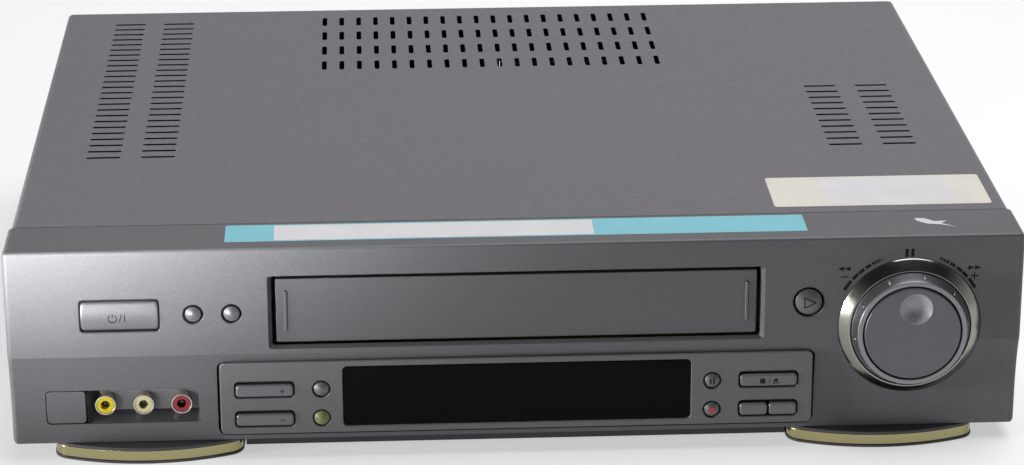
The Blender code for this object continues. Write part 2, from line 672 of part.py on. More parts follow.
def lofted(name, rings):
    """A solid grown from ring to ring, each ring a closed outline of the same count of points."""
    shape = bmesh.new()
    first = shape.faces.new([shape.verts.new(point) for point in rings[0]])
    last = first
    for ring in rings[1:]:
        grown = bmesh.ops.extrude_face_region(shape, geom=[last])["geom"]
        if last is not first:
            shape.faces.remove(last)
        last = next(item for item in grown if isinstance(item, bmesh.types.BMFace))
        for vertex, point in zip(last.verts, ring):
            vertex.co = point
    return add_object(name, mesh_from(name, shape), (0, 0, 0), FLAT, TOOLS)


def upright_slab(name, outline, front, thickness, collection=TOOLS):
    """A slab whose outline is given in (across, height), from a depth backwards."""
    return slab(name, outline, thickness, place(0, front + thickness / 2, 0), UPRIGHT, collection)


def flat_slab(name, outline, bottom, thickness, collection=TOOLS):
    """A slab whose outline is given in (across, depth), from a height upwards."""
    return slab(name, outline, thickness, place(0, 0, bottom + thickness / 2), FLAT, collection)


def rounded_rectangle(left, right, bottom, top, radius, steps=ARC_STEPS):
    points = []
    corners = (
        (right - radius, bottom + radius, -math.pi / 2),
        (right - radius, top - radius, 0),
        (left + radius, top - radius, math.pi / 2),
        (left + radius, bottom + radius, math.pi),
    )
    for centre_u, centre_v, start in corners:
        for step in range(steps + 1):
            angle = start + step / steps * math.pi / 2
            u = centre_u + radius * math.cos(angle)
            v = centre_v + radius * math.sin(angle)
            points.append((u, v))
    return points


def show(tool, name, material):
    """Turns a tool into a finished part."""
    bpy.data.collections[TOOLS].objects.unlink(tool)
    bpy.data.collections[PARTS].objects.link(tool)
    tool.hide_render = False
    tool.display_type = "TEXTURED"
    tool.name = name
    tool.data.name = name
    tool.data.materials.clear()
    tool.data.materials.append(material)
    return tool


def combine(thing, tools, operation):
    for tool in tools:
        step = thing.modifiers.new(tool.name, "BOOLEAN")
        step.operation = operation
        step.object = tool
    return thing


def cut(thing, *tools):
    return combine(thing, tools, "DIFFERENCE")


def join(thing, *tools):
    return combine(thing, tools, "UNION")


def settle(thing):
    """Applies a part's own modifiers, so that it can serve as a tool or be given a new origin."""
    bpy.context.view_layer.update()
    graph = bpy.context.evaluated_depsgraph_get()
    mesh = bpy.data.meshes.new_from_object(thing.evaluated_get(graph))
    thing.modifiers.clear()
    thing.data = mesh
    return thing


def set_origin(thing, origin):
    """Moves an object's origin to a world place, such as a joint's axis, and leaves its shape."""
    bpy.context.view_layer.update()
    world = thing.matrix_world.copy()
    thing.data.transform(world)
    thing.data.transform(world.Translation(-origin))
    thing.rotation_euler = FLAT
    thing.location = origin
    return thing


def smooth(thing):
    """Shades round faces smooth and keeps edges crisp."""
    thing.data.shade_smooth()
    thing.data.set_sharp_from_angle(angle=math.radians(35))
    return thing


# Bezel


def lower_depth(height):
    """How far the hollowed lower front lies behind the upper face at a height."""
    share = min(height / CREASE_HEIGHT, 1)
    return LOWER_SETBACK * (1 - share * share)


def bezel_section(inset, back):
    """The bezel's side view as (depth, height) points, moved in by a wall."""
    points = [(back, inset)]
    for step in range(CURVE_STEPS + 1):
        height = inset + (CREASE_HEIGHT - inset) * step / CURVE_STEPS
        points.append((lower_depth(height) + inset, height))
    top = BEZEL_HEIGHT - inset
    for step in range(ARC_STEPS + 1):
        angle = step / ARC_STEPS * math.pi / 2
        depth = inset + TOP_ROUND_BACK * (1 - math.cos(angle))
        points.append((depth, top - TOP_ROUND_DROP * (1 - math.sin(angle))))
    points.append((back, top))
    return points


def bezel_shell():
    """The bezel as one long extrusion, each end rounded by sections that shrink towards it."""
    rings = []
    for side in (-1, 1):
        for step in range(ARC_STEPS + 1):
            angle = step / ARC_STEPS * math.pi / 2
            inset = BEZEL_EDGE_ROUND * (1 - math.sin(angle))
            across = CASE_WIDTH / 2 - BEZEL_EDGE_ROUND * (1 - math.cos(angle))
            ring = [place(side * across, *point) for point in bezel_section(inset, BEZEL_DEPTH)]
            rings.append((side * across, ring))
    shell = lofted("bezel", [ring for _, ring in sorted(rings, key=lambda entry: entry[0])])
    hollow = slab(
        "bezel_hollow",
        bezel_section(BEZEL_WALL, BEZEL_DEPTH + OVERRUN),
        CASE_WIDTH - 2 * BEZEL_WALL,
        place(0, 0, 0),
        ACROSS,
    )
    return cut(shell, hollow)


def opening_cutters():
    """The cassette opening and the chamfered frame round its mouth."""
    half = OPENING_WIDTH / 2
    through = box(
        "opening_hole",
        (-half, -OVERRUN, OPENING_BOTTOM),
        (half, BEZEL_WALL + OVERRUN, OPENING_TOP),
    )
    frame = box(
        "opening_frame",
        (-half, -FRAME_CHAMFER_DEPTH, OPENING_BOTTOM),
        (half, FRAME_CHAMFER_DEPTH, OPENING_TOP),
    )
    for vertex in frame.data.vertices:
        if vertex.co.y < 0:
            vertex.co.x += math.copysign(2 * FRAME_CHAMFER_SIDE, vertex.co.x)
            vertex.co.z += math.copysign(2 * FRAME_CHAMFER_TOP, vertex.co.z)
    return through, frame


def dial_seat():
    """The drum-shaped seat that carries the dial's ring over the hollowed lower front."""
    front = DIAL_SEAT_SETBACK - DIAL_SEAT_SPARE
    back = DIAL_SEAT_SETBACK + BEZEL_WALL + LOWER_SETBACK
    radius = DIAL_RING_RADIUS + DIAL_SEAT_WALL
    return rod("dial_seat", (DIAL_X, front, DIAL_HEIGHT), radius, back - front, "Y", FINE)


def dial_recess():
    """The shallow round recess that the dial's ring sits in."""
    start = (DIAL_X, -OVERRUN, DIAL_HEIGHT)
    radius = DIAL_RING_RADIUS + GAP
    return rod("dial_recess", start, radius, OVERRUN + DIAL_SEAT_SETBACK, "Y", FINE)


def door_ears():
    """Two ears behind the bezel's wall that hold the door's pins."""
    ears = []
    holes = []
    for side in (-1, 1):
        inner = DOOR_HALF_WIDTH + DOOR_EAR_GAP
        ends = sorted((side * inner, side * (inner + DOOR_EAR_WIDTH)))
        ears.append(
            box(
                "door_ear",
                (ends[0], BEZEL_WALL - OVERLAP, DOOR_PIVOT_HEIGHT - DOOR_EAR_REACH),
                (ends[1], DOOR_PIVOT_DEPTH + DOOR_EAR_REACH, DOOR_PIVOT_HEIGHT + DOOR_EAR_REACH),
            )
        )
        holes.append(
            rod(
                "door_ear_hole",
                (ends[0] - OVERLAP, DOOR_PIVOT_DEPTH, DOOR_PIVOT_HEIGHT),
                DOOR_PIN_RADIUS + GAP,
                DOOR_EAR_WIDTH + 2 * OVERLAP,
                "X",
            )
        )
    return ears, holes


def pocket_outline(margin):
    """The opening for the front sockets and the blanking plate, as (across, height) points."""
    return rounded_rectangle(
        POCKET_LEFT - margin,
        POCKET_RIGHT + margin,
        POCKET_BOTTOM - margin,
        POCKET_BOTTOM + POCKET_HEIGHT + margin,
        POCKET_CORNER,
    )


def panel_outline(margin):
    half = PANEL_WIDTH / 2 + margin
    top = PANEL_BOTTOM + PANEL_HEIGHT + margin
    return rounded_rectangle(-half, half, PANEL_BOTTOM - margin, top, PANEL_CORNER + margin)


def through_front(name, outline):
    """A cutter that goes through the whole front wall."""
    return upright_slab(name, outline, -OVERRUN, PANEL_BACK + 2 * OVERRUN)


def centred(across, height, width, tall, radius):
    return rounded_rectangle(
        across - width / 2, across + width / 2, height - tall / 2, height + tall / 2, radius
    )


def round_hole(name, across, height, radius, steps=MEDIUM):
    return rod(name, (across, -OVERRUN, height), radius, PANEL_BACK + 2 * OVERRUN, "Y", steps)


def make_front_panel(finishes):
    bezel = bezel_shell()
    ears, ear_holes = door_ears()
    join(bezel, dial_seat(), *ears)
    cut(bezel, *opening_cutters(), *ear_holes, dial_recess())
    cut(
        bezel,
        through_front("panel_hole", panel_outline(GAP)),
        through_front("pocket_hole", pocket_outline(0)),
        through_front(
            "power_hole",
            centred(
                POWER_X,
                UPPER_BUTTON_HEIGHT,
                POWER_HOLE_WIDTH,
                POWER_HOLE_HEIGHT,
                BUTTON_CORNER * 2,
            ),
        ),
        round_hole("timer_hole", TIMER_X, UPPER_BUTTON_HEIGHT, SMALL_HOLE_RADIUS),
        round_hole("review_hole", REVIEW_X, UPPER_BUTTON_HEIGHT, SMALL_HOLE_RADIUS),
        round_hole("play_hole", PLAY_X, UPPER_BUTTON_HEIGHT, PLAY_HOLE_RADIUS),
        round_hole("dial_hole", DIAL_X, DIAL_HEIGHT, DIAL_HOLE, FINE),
    )
    return show(bezel, "front_panel", finishes["silver"])


def make_cassette_door(finishes):
    door = box(
        "door",
        (-DOOR_HALF_WIDTH, DOOR_FRONT, DOOR_BOTTOM),
        (DOOR_HALF_WIDTH, DOOR_FRONT + DOOR_THICKNESS, DOOR_TOP),
    )
    middle = (OPENING_BOTTOM + OPENING_TOP) / 2
    for side in (-1, 1):
        outer = side * DOOR_HALF_WIDTH
        ends = sorted((outer, outer - side * DOOR_LUG_WIDTH))
        lug = box(
            "door_lug",
            (ends[0], DOOR_PIVOT_DEPTH - DOOR_PIN_RADIUS, DOOR_TOP - DOOR_THICKNESS),
            (ends[1], DOOR_PIVOT_DEPTH + DOOR_PIN_RADIUS, DOOR_PIVOT_HEIGHT + DOOR_PIN_RADIUS),
        )
        pin_start = outer if side > 0 else outer - DOOR_PIN_LENGTH
        pin = rod(
            "door_pin",
            (pin_start - OVERLAP, DOOR_PIVOT_DEPTH, DOOR_PIVOT_HEIGHT),
            DOOR_PIN_RADIUS,
            DOOR_PIN_LENGTH + 2 * OVERLAP,
            "X",
        )
        rib_outer = side * (OPENING_WIDTH / 2 - DOOR_RIB_INSET)
        rib_ends = sorted((rib_outer, rib_outer - side * DOOR_RIB_WIDTH))
        rib = box(
            "door_rib",
            (rib_ends[0], DOOR_FRONT - DOOR_RIB_PROUD, middle - DOOR_RIB_HEIGHT / 2),
            (rib_ends[1], DOOR_FRONT + OVERLAP, middle + DOOR_RIB_HEIGHT / 2),
        )
        join(door, lug, pin, rib)
    settle(door)
    set_origin(door, place(0, DOOR_PIVOT_DEPTH, DOOR_PIVOT_HEIGHT))
    return show(door, "cassette_door", finishes["panel"])


# Control panel, window and the board behind them


def wide_holes():
    """The places of the four wide openings, as (name, across, height)."""
    return (
        ("channel_up", -WIDE_BUTTON_X, UPPER_ROW_HEIGHT),
        ("channel_down", -WIDE_BUTTON_X, LOWER_ROW_HEIGHT),
        ("stop_eject", WIDE_BUTTON_X, UPPER_ROW_HEIGHT),
        ("insert_and_dub", WIDE_BUTTON_X, LOWER_ROW_HEIGHT),
    )


def round_buttons():
    """The places of the four round buttons on the control panel."""
    return (
        ("synchro_edit", -ROUND_BUTTON_X, UPPER_ROW_HEIGHT, "silver"),
        ("record_link", -ROUND_BUTTON_X, LOWER_ROW_HEIGHT, "green"),
        ("pause", ROUND_BUTTON_X, UPPER_ROW_HEIGHT, "silver"),
        ("record", ROUND_BUTTON_X, LOWER_ROW_HEIGHT, "silver"),
    )


def window_outline(margin):
    return centred(
        0,
        PANEL_BOTTOM + PANEL_HEIGHT / 2,
        WINDOW_WIDTH + 2 * margin,
        WINDOW_HEIGHT + 2 * margin,
        WINDOW_CORNER,
    )


def make_control_panel(finishes):
    """A shallow tray whose front stands out of the hollowed lower front."""
    flange_back = PANEL_BACK + PANEL_FLANGE_THICKNESS
    tray = upright_slab("panel", panel_outline(0), 0, flange_back)
    flange = upright_slab(
        "panel_flange",
        rounded_rectangle(
            -PANEL_WIDTH / 2 - PANEL_FLANGE,
            PANEL_WIDTH / 2 + PANEL_FLANGE,
            BEZEL_WALL + GAP,
            PANEL_BOTTOM + PANEL_HEIGHT + PANEL_FLANGE,
            PANEL_FLANGE,
        ),
        PANEL_BACK,
        PANEL_FLANGE_THICKNESS,
    )
    hollow = upright_slab("panel_hollow", panel_outline(-PANEL_SIDE_WALL), PANEL_WALL, flange_back)
    join(tray, flange)
    cut(tray, hollow, through_front("window_hole", window_outline(GAP)))
    for name, across, height in wide_holes():
        outline = centred(across, height, WIDE_HOLE_WIDTH, WIDE_HOLE_HEIGHT, WIDE_HOLE_CORNER)
        cut(tray, through_front(name + "_hole", outline))
    for name, across, height, _ in round_buttons():
        cut(tray, round_hole(name + "_hole", across, height, ROUND_HOLE_RADIUS))
    return show(tray, "control_panel", finishes["panel"])


def make_display_window(finishes):
    back = PANEL_WALL + GAP
    window = upright_slab(
        "window", window_outline(0), WINDOW_SETBACK, back + OVERLAP - WINDOW_SETBACK
    )
    flange = upright_slab(
        "window_flange", window_outline(WINDOW_FLANGE), back, WINDOW_FLANGE_THICKNESS
    )
    join(window, flange)
    return show(window, "display_window", finishes["gloss"])


def make_front_board(finishes):
    """One board across the front, cut low in the middle to clear the cassette's way in."""
    bottom = BEZEL_WALL + GAP
    half = BOARD_WIDTH / 2
    outline = [
        (-half, bottom),
        (half, bottom),
        (half, BOARD_SIDE_TOP),
        (BOARD_SIDE_INNER, BOARD_SIDE_TOP),
        (BOARD_SIDE_INNER, BOARD_MIDDLE_TOP),
        (-BOARD_SIDE_INNER, BOARD_MIDDLE_TOP),
        (-BOARD_SIDE_INNER, BOARD_SIDE_TOP),
        (-half, BOARD_SIDE_TOP),
    ]
    board = upright_slab("board", outline, BOARD_DEPTH, BOARD_THICKNESS)
    places = [(name, across, height) for name, across, height, _ in round_buttons()]
    places += [entry for entry in wide_holes() if entry[0] != "insert_and_dub"]
    for name, side in (("insert", -1), ("audio_dub", 1)):
        places.append((name, WIDE_BUTTON_X + side * WIDE_HOLE_WIDTH / 4, LOWER_ROW_HEIGHT))
    places += [
        ("power", POWER_X, UPPER_BUTTON_HEIGHT),
        ("timer", TIMER_X, UPPER_BUTTON_HEIGHT),
        ("review", REVIEW_X, UPPER_BUTTON_HEIGHT),
        ("play", PLAY_X, UPPER_BUTTON_HEIGHT),
    ]
    reach = SWITCH_SIZE / 2
    for name, across, height in places:
        switch = box(
            name + "_switch",
            (across - reach, SWITCH_FRONT, height - reach),
            (across + reach, BOARD_DEPTH + OVERLAP, height + reach),
        )
        join(board, switch)
    middle = PANEL_BOTTOM + PANEL_HEIGHT / 2
    tube = box(
        "display_tube",
        (
            -DISPLAY_TUBE_WIDTH / 2,
            BOARD_DEPTH - DISPLAY_TUBE_THICKNESS,
            middle - DISPLAY_TUBE_HEIGHT / 2,
        ),
        (
            DISPLAY_TUBE_WIDTH / 2,
            BOARD_DEPTH + OVERLAP,
            middle + DISPLAY_TUBE_HEIGHT / 2,
        ),
    )
    encoder = rod(
        "encoder",
        (DIAL_X, ENCODER_FRONT, DIAL_HEIGHT),
        ENCODER_RADIUS,
        BOARD_DEPTH + OVERLAP - ENCODER_FRONT,
        "Y",
        MEDIUM,
    )
    join(board, tube, encoder)
    hub = JOG_SHAFT_RADIUS + GAP + SHUTTLE_HUB_WALL + GAP
    bore_depth = SHUTTLE_HUB_LENGTH + JOG_SHAFT_EXTRA + GAP - ENCODER_FRONT
    bore = rod(
        "encoder_bore",
        (DIAL_X, ENCODER_FRONT - OVERRUN, DIAL_HEIGHT),
        hub,
        OVERRUN + bore_depth,
        "Y",
        MEDIUM,
    )
    cut(board, bore)
    return show(board, "front_board", finishes["board"])


# Buttons


def button_stem(name, across, height, start, travel):
    """The stem that reaches back to the switch, which it meets when the button is pressed."""
    length = SWITCH_FRONT - travel - GAP - start
    return rod(name, (across, start, height), BUTTON_STEM_RADIUS, length, "Y")


def make_round_button(name, across, height, hole, wall, material):
    """A domed cap with a flange behind the wall, and a stem."""
    radius = hole - BUTTON_GAP
    flange_front = wall + GAP
    flange_back = flange_front + BUTTON_FLANGE_THICKNESS
    stem_back = SWITCH_FRONT - BUTTON_TRAVEL - GAP
    profile = [
        (0, CAP_PROUD),
        (radius * CAP_CROWN_SHARE, CAP_PROUD - CAP_DOME * CAP_CROWN_SHARE**2),
        (radius, CAP_PROUD - CAP_DOME),
        (radius, -flange_front),
        (radius + BUTTON_FLANGE, -flange_front),
        (radius + BUTTON_FLANGE, -flange_back),
        (BUTTON_STEM_RADIUS, -flange_back),
        (BUTTON_STEM_RADIUS, -stem_back),
        (0, -stem_back),
    ]
    cap = turned(name, profile, (across, 0, height), UPRIGHT, MEDIUM)
    return show(smooth(cap), name + "_button", material)


def make_wide_button(name, left, right, height, material):
    """A wide cap with softened edges, a flange behind the panel's wall, and a stem."""
    bottom = height - WIDE_HOLE_HEIGHT / 2 + BUTTON_GAP
    top = height + WIDE_HOLE_HEIGHT / 2 - BUTTON_GAP
    flange_front = PANEL_WALL + GAP
    flange_back = flange_front + BUTTON_FLANGE_THICKNESS
    cap = box(
        name,
        (left, -WIDE_CAP_PROUD, bottom),
        (right, flange_back - OVERLAP, top),
        WIDE_CAP_PROUD,
    )
    flange_top = height + WIDE_HOLE_HEIGHT / 2 + BUTTON_FLANGE - BUTTON_GAP
    flange_bottom = height - WIDE_HOLE_HEIGHT / 2 - BUTTON_FLANGE + BUTTON_GAP
    flange = box(
        name + "_flange", (left, flange_front, flange_bottom), (right, flange_back, flange_top)
    )
    stem = button_stem(
        name + "_stem", (left + right) / 2, height, flange_back - OVERLAP, BUTTON_TRAVEL
    )
    join(cap, flange, stem)
    return show(cap, name + "_button", material)


def make_power_button(finishes):
    """A wide cap whose face is a slice of a lying cylinder."""
    half = POWER_HOLE_WIDTH / 2 - BUTTON_GAP
    reach = POWER_HOLE_HEIGHT / 2 - BUTTON_GAP
    flange_front = BEZEL_WALL + GAP
    flange_back = flange_front + BUTTON_FLANGE_THICKNESS
    section = [
        (flange_front + OVERLAP, UPPER_BUTTON_HEIGHT + reach),
        (flange_front + OVERLAP, UPPER_BUTTON_HEIGHT - reach),
    ]
    steps = 2 * ARC_STEPS
    for step in range(steps + 1):
        share = 2 * step / steps - 1
        depth = POWER_SIDE_DEPTH - POWER_BULGE * (1 - share * share)
        section.append((depth, UPPER_BUTTON_HEIGHT + share * reach))
    cap = slab("power", section, 2 * half, place(POWER_X, 0, 0), ACROSS)
    flange = upright_slab(
        "power_flange",
        centred(
            POWER_X,
            UPPER_BUTTON_HEIGHT,
            POWER_HOLE_WIDTH + 2 * BUTTON_FLANGE,
            POWER_HOLE_HEIGHT + 2 * BUTTON_FLANGE,
            BUTTON_CORNER,
        ),
        flange_front,
        BUTTON_FLANGE_THICKNESS,
    )
    stem = button_stem(
        "power_stem", POWER_X, UPPER_BUTTON_HEIGHT, flange_back - OVERLAP, POWER_TRAVEL
    )
    join(cap, flange, stem)
    return show(cap, "power_button", finishes["silver"])


def make_buttons(finishes):
    make_power_button(finishes)
    for name, across in (("timer", TIMER_X), ("review", REVIEW_X)):
        make_round_button(
            name, across, UPPER_BUTTON_HEIGHT, SMALL_HOLE_RADIUS, BEZEL_WALL, finishes["silver"]
        )
    make_round_button(
        "play", PLAY_X, UPPER_BUTTON_HEIGHT, PLAY_HOLE_RADIUS, BEZEL_WALL, finishes["satin"]
    )
    for name, across, height, colour in round_buttons():
        make_round_button(
            name, across, height, ROUND_HOLE_RADIUS, PANEL_WALL, finishes[colour]
        )
    half = WIDE_HOLE_WIDTH / 2 - BUTTON_GAP
    for name, across, height in wide_holes():
        if name == "insert_and_dub":
            seam = BUTTON_GAP / 2
            make_wide_button("insert", across - half, across - seam, height, finishes["panel"])
            make_wide_button("audio_dub", across + seam, across + half, height, finishes["panel"])
        else:
            make_wide_button(name, across - half, across + half, height, finishes["panel"])


# Jog dial and shuttle ring


def make_dial_bezel(finishes):
    """The bright ring: a rounded cone, with a sleeve that centres it in the bezel's hole."""
    sleeve = DIAL_INNER + DIAL_SLEEVE_WALL
    middle = DIAL_RING_PROUD / 2
    profile = [
        (DIAL_INNER + DIAL_RING_LAND, DIAL_RING_PROUD),
        (DIAL_RING_RADIUS - DIAL_RING_WIDTH / 3, middle + DIAL_RING_ROUND),
        (DIAL_RING_RADIUS, DIAL_RING_ROUND),
        (DIAL_RING_RADIUS, 0),
        (sleeve, 0),
        (sleeve, -DIAL_SLEEVE_LENGTH),
        (DIAL_INNER, -DIAL_SLEEVE_LENGTH),
        (DIAL_INNER, DIAL_RING_PROUD),
    ]
    ring = turned("dial_ring", profile, (DIAL_X, 0, DIAL_HEIGHT), UPRIGHT)
    return show(smooth(ring), "dial_bezel", finishes["chrome"])


def make_shuttle_ring(finishes):
    """The outer ring: a coned rim with small grips, carried on a hub in the encoder."""
    outer = DIAL_INNER - SHUTTLE_GAP
    rim_inner = SHUTTLE_RIM_RADIUS - SHUTTLE_RIM_WIDTH
    bore = JOG_SHAFT_RADIUS + GAP
    hub = bore + SHUTTLE_HUB_WALL
    shelf = outer - SHUTTLE_WALL
    web_back = SHUTTLE_WEB_PROUD - SHUTTLE_WEB_THICKNESS
    profile = [
        (SHUTTLE_RIM_RADIUS - SHUTTLE_EDGE, SHUTTLE_RIM_PROUD),
        (SHUTTLE_RIM_RADIUS, SHUTTLE_RIM_PROUD - SHUTTLE_EDGE),
        (outer, SHUTTLE_WALL_PROUD),
        (outer, -SHUTTLE_SKIRT),
        (shelf, -SHUTTLE_SKIRT),
        (shelf, web_back),
        (hub, web_back),
        (hub, -SHUTTLE_HUB_LENGTH),
        (bore, -SHUTTLE_HUB_LENGTH),
        (bore, SHUTTLE_WEB_PROUD),
        (rim_inner, SHUTTLE_WEB_PROUD),
        (rim_inner, SHUTTLE_RIM_PROUD - SHUTTLE_EDGE),
        (rim_inner + SHUTTLE_EDGE, SHUTTLE_RIM_PROUD),
    ]
    ring = turned("shuttle", profile, (DIAL_X, 0, DIAL_HEIGHT), UPRIGHT)
    for grip in range(SHUTTLE_GRIPS):
        angle = GRIP_FIRST_TURN + grip * 2 * math.pi / SHUTTLE_GRIPS
        across = DIAL_X + SHUTTLE_RIM_RADIUS * math.cos(angle)
        height = DIAL_HEIGHT + SHUTTLE_RIM_RADIUS * math.sin(angle)
        start = SHUTTLE_EDGE - SHUTTLE_RIM_PROUD
        nub = rod("grip", (across, start, height), GRIP_RADIUS, SHUTTLE_RIM_WIDTH, "Y", 6)
        join(ring, nub)
    return show(smooth(ring), "shuttle_ring", finishes["satin"])


def make_jog_dial(finishes):
    """The inner disc with its finger dimple, on a long shaft through the shuttle's hub."""
    radius = SHUTTLE_RIM_RADIUS - SHUTTLE_RIM_WIDTH - JOG_GAP
    shaft_end = -SHUTTLE_HUB_LENGTH - JOG_SHAFT_EXTRA
    back = DIAL_PROUD - JOG_THICKNESS
    profile = [
        (0, DIAL_PROUD),
        (radius - JOG_EDGE, DIAL_PROUD),
        (radius, DIAL_PROUD - JOG_EDGE),
        (radius, back),
        (JOG_SHAFT_RADIUS, back),
        (JOG_SHAFT_RADIUS, shaft_end),
        (0, shaft_end),
    ]
    disc = turned("jog", profile, (DIAL_X, 0, DIAL_HEIGHT), UPRIGHT)
    ball = (DIMPLE_RADIUS**2 + DIMPLE_DEPTH**2) / (2 * DIMPLE_DEPTH)
    shape = bmesh.new()
    bmesh.ops.create_uvsphere(shape, u_segments=MEDIUM, v_segments=MEDIUM, radius=ball)
    centre = place(
        DIAL_X + DIMPLE_ACROSS, DIMPLE_DEPTH - DIAL_PROUD - ball, DIAL_HEIGHT + DIMPLE_UP
    )
    scoop = add_object("dimple", mesh_from("dimple", shape), centre, UPRIGHT, TOOLS)
    cut(disc, scoop)
    return show(smooth(disc), "jog_dial", finishes["satin"])


# Front sockets


def pocket_box(margin, front, back, name):
    """The part of the front opening right of the blanking plate, moved in by a margin."""
    left = POCKET_LEFT + BLANK_WIDTH + GAP
    return box(
        name,
        (left + margin, front, POCKET_BOTTOM + GAP + margin),
        (POCKET_RIGHT - GAP - margin, back, POCKET_BOTTOM + POCKET_HEIGHT - GAP - margin),
    )


def front_jacks():
    names = ("video_jack", "audio_left_jack", "audio_right_jack")
    colours = ("yellow", "white", "red")
    return [
        (name, FRONT_JACK_RIGHT_X - (2 - index) * FRONT_JACK_SPACING, colour)
        for index, (name, colour) in enumerate(zip(names, colours))
    ]


def make_jack_housing(finishes):
    """The black pocket behind the opening, with a flange that seats behind the front wall."""
    back = POCKET_DEPTH + POCKET_BACK
    housing = upright_slab("pocket", pocket_outline(-GAP), BLANK_SETBACK, back - BLANK_SETBACK)
    beside = box(
        "beside_pocket",
        (POCKET_LEFT - OVERRUN, -OVERRUN, -OVERRUN),
        (POCKET_LEFT + BLANK_WIDTH + GAP, back + OVERRUN, 2 * POCKET_HEIGHT),
    )
    cut(housing, beside)
    flange = upright_slab(
        "pocket_flange", pocket_outline(POCKET_FLANGE), PANEL_BACK, POCKET_FLANGE_THICKNESS
    )
    join(housing, flange)
    cut(housing, pocket_box(POCKET_LINING, -OVERRUN, POCKET_DEPTH, "pocket_hollow"))
    for name, across, _ in front_jacks():
        hole = rod(
            name + "_hole",
            (across, POCKET_DEPTH - OVERRUN, FRONT_JACK_HEIGHT),
            PHONO_RADIUS + GAP,
            2 * OVERRUN + POCKET_BACK,
            "Y",
            MEDIUM,
        )
        cut(housing, hole)
    return show(housing, "front_jack_housing", finishes["black"])


def make_blank_plate(finishes):
    """The plain plate left of the sockets, flush with the front."""
    plate = upright_slab(
        "blank",
        rounded_rectangle(
            POCKET_LEFT + GAP,
            POCKET_LEFT + BLANK_WIDTH,
            POCKET_BOTTOM + GAP,
            POCKET_BOTTOM + POCKET_HEIGHT - GAP,
            POCKET_CORNER,
        ),
        BLANK_SETBACK,
        BLANK_THICKNESS,
    )
    middle = POCKET_LEFT + BLANK_WIDTH / 2
    centre = POCKET_BOTTOM + POCKET_HEIGHT / 2
    clip = rod(
        "blank_clip",
        (middle, BLANK_SETBACK + OVERLAP, centre),
        BUTTON_STEM_RADIUS,
        PANEL_BACK - GAP - BLANK_SETBACK - OVERLAP,
        "Y",
    )
    join(plate, clip)
    return show(plate, "jack_blank_plate", finishes["silver"])


def phono_profile(length):
    """A phono socket, from the bottom of its bore out to its face at 0 and back to its end."""
    return [
        (0, -PHONO_BORE_DEPTH),
        (PHONO_BORE, -PHONO_BORE_DEPTH),
        (PHONO_BORE, 0),
        (PHONO_RADIUS, 0),
        (PHONO_RADIUS, -length),
        (0, -length),
    ]


def make_front_jacks(finishes):
    length = BOARD_DEPTH - GAP - FRONT_JACK_FACE
    for name, across, colour in front_jacks():
        profile = phono_profile(length)
        jack = turned(name, profile, (across, FRONT_JACK_FACE, FRONT_JACK_HEIGHT), UPRIGHT, MEDIUM)
        show(smooth(jack), name, finishes[colour])


# Feet


def foot_front(extra, steps):
    """The bowed front of a foot as (across, depth) points, pushed out by an extra."""
    half = FRONT_FOOT_WIDTH / 2
    radius = (half * half + FRONT_FOOT_BULGE**2) / (2 * FRONT_FOOT_BULGE)
    swing = math.asin(half / radius)
    centre = radius - FRONT_FOOT_PROUD + FOOT_BAND_PROUD
    reach = radius + extra
    points = []
    for step in range(steps + 1):
        angle = -swing + 2 * swing * step / steps
        points.append((reach * math.sin(angle), centre - reach * math.cos(angle)))
    return points


def foot_outline(side, extra):
    front = foot_front(extra, FOOT_STEPS)
    back = FRONT_FOOT_LENGTH - FRONT_FOOT_PROUD
    points = front + [(front[-1][0], back), (front[0][0], back)]
    return [(side * FRONT_FOOT_X + u, v) for u, v in points]


def make_front_foot(name, side, finishes):
    """A bowed block with a lip above and below its band, stepped to fit under the tray."""
    top = -GAP
    bottom = -FOOT_DROP
    core = flat_slab(name, foot_outline(side, 0), bottom, top - bottom)
    lip_low = flat_slab(name + "_lip_low", foot_outline(side, FOOT_BAND_PROUD), bottom, FOOT_LIP)
    lip_high = flat_slab(
        name + "_lip_high",
        foot_outline(side, FOOT_BAND_PROUD),
        top - FOOT_TOP_LIP_HEIGHT,
        FOOT_TOP_LIP_HEIGHT,
    )
    join(core, lip_low, lip_high)
    reach = FRONT_FOOT_WIDTH
    step = box(
        name + "_step",
        (side * FRONT_FOOT_X - reach, CHASSIS_FRONT - GAP, -CHASSIS_DROP - GAP),
        (side * FRONT_FOOT_X + reach, FRONT_FOOT_LENGTH + OVERRUN, OVERRUN),
    )
    cut(core, step)
    return show(core, name, finishes["black"])


def make_foot_trim(name, side, finishes):
    """The metal band round the bowed front, between the foot's lips."""
    inner = foot_front(GAP, FOOT_STEPS)
    outer = foot_front(FOOT_BAND_PROUD, FOOT_STEPS)
    outline = [(side * FRONT_FOOT_X + u, v) for u, v in outer + inner[::-1]]
    bottom = FOOT_LIP + GAP - FOOT_DROP
    top = -GAP - FOOT_TOP_LIP_HEIGHT - GAP
    band = flat_slab(name, outline, bottom, top - bottom)
    return show(band, name, finishes["gold"])


def make_feet(finishes):
    for side, word in ((-1, "left"), (1, "right")):
        make_front_foot("front_foot_" + word, side, finishes)
        make_foot_trim("foot_trim_" + word, side, finishes)
        start = (side * REAR_FOOT_X, REAR_FOOT_DEPTH, -FOOT_DROP)
        height = FOOT_DROP - CHASSIS_DROP - GAP
        foot = rod(
            "rear_foot_" + word,
            start,
            REAR_FOOT_RADIUS - REAR_FOOT_TAPER,
            height,
            "Z",
            MEDIUM,
            REAR_FOOT_RADIUS,
        )
        show(smooth(foot), "rear_foot_" + word, finishes["rubber"])


# Case


def vent_cutter(name, across, depth, width, length):
    return box(
        name,
        (across - width / 2, depth - length / 2, BEZEL_HEIGHT - COVER_SHEET - OVERRUN),
        (across + width / 2, depth + length / 2, BEZEL_HEIGHT + OVERRUN),
    )


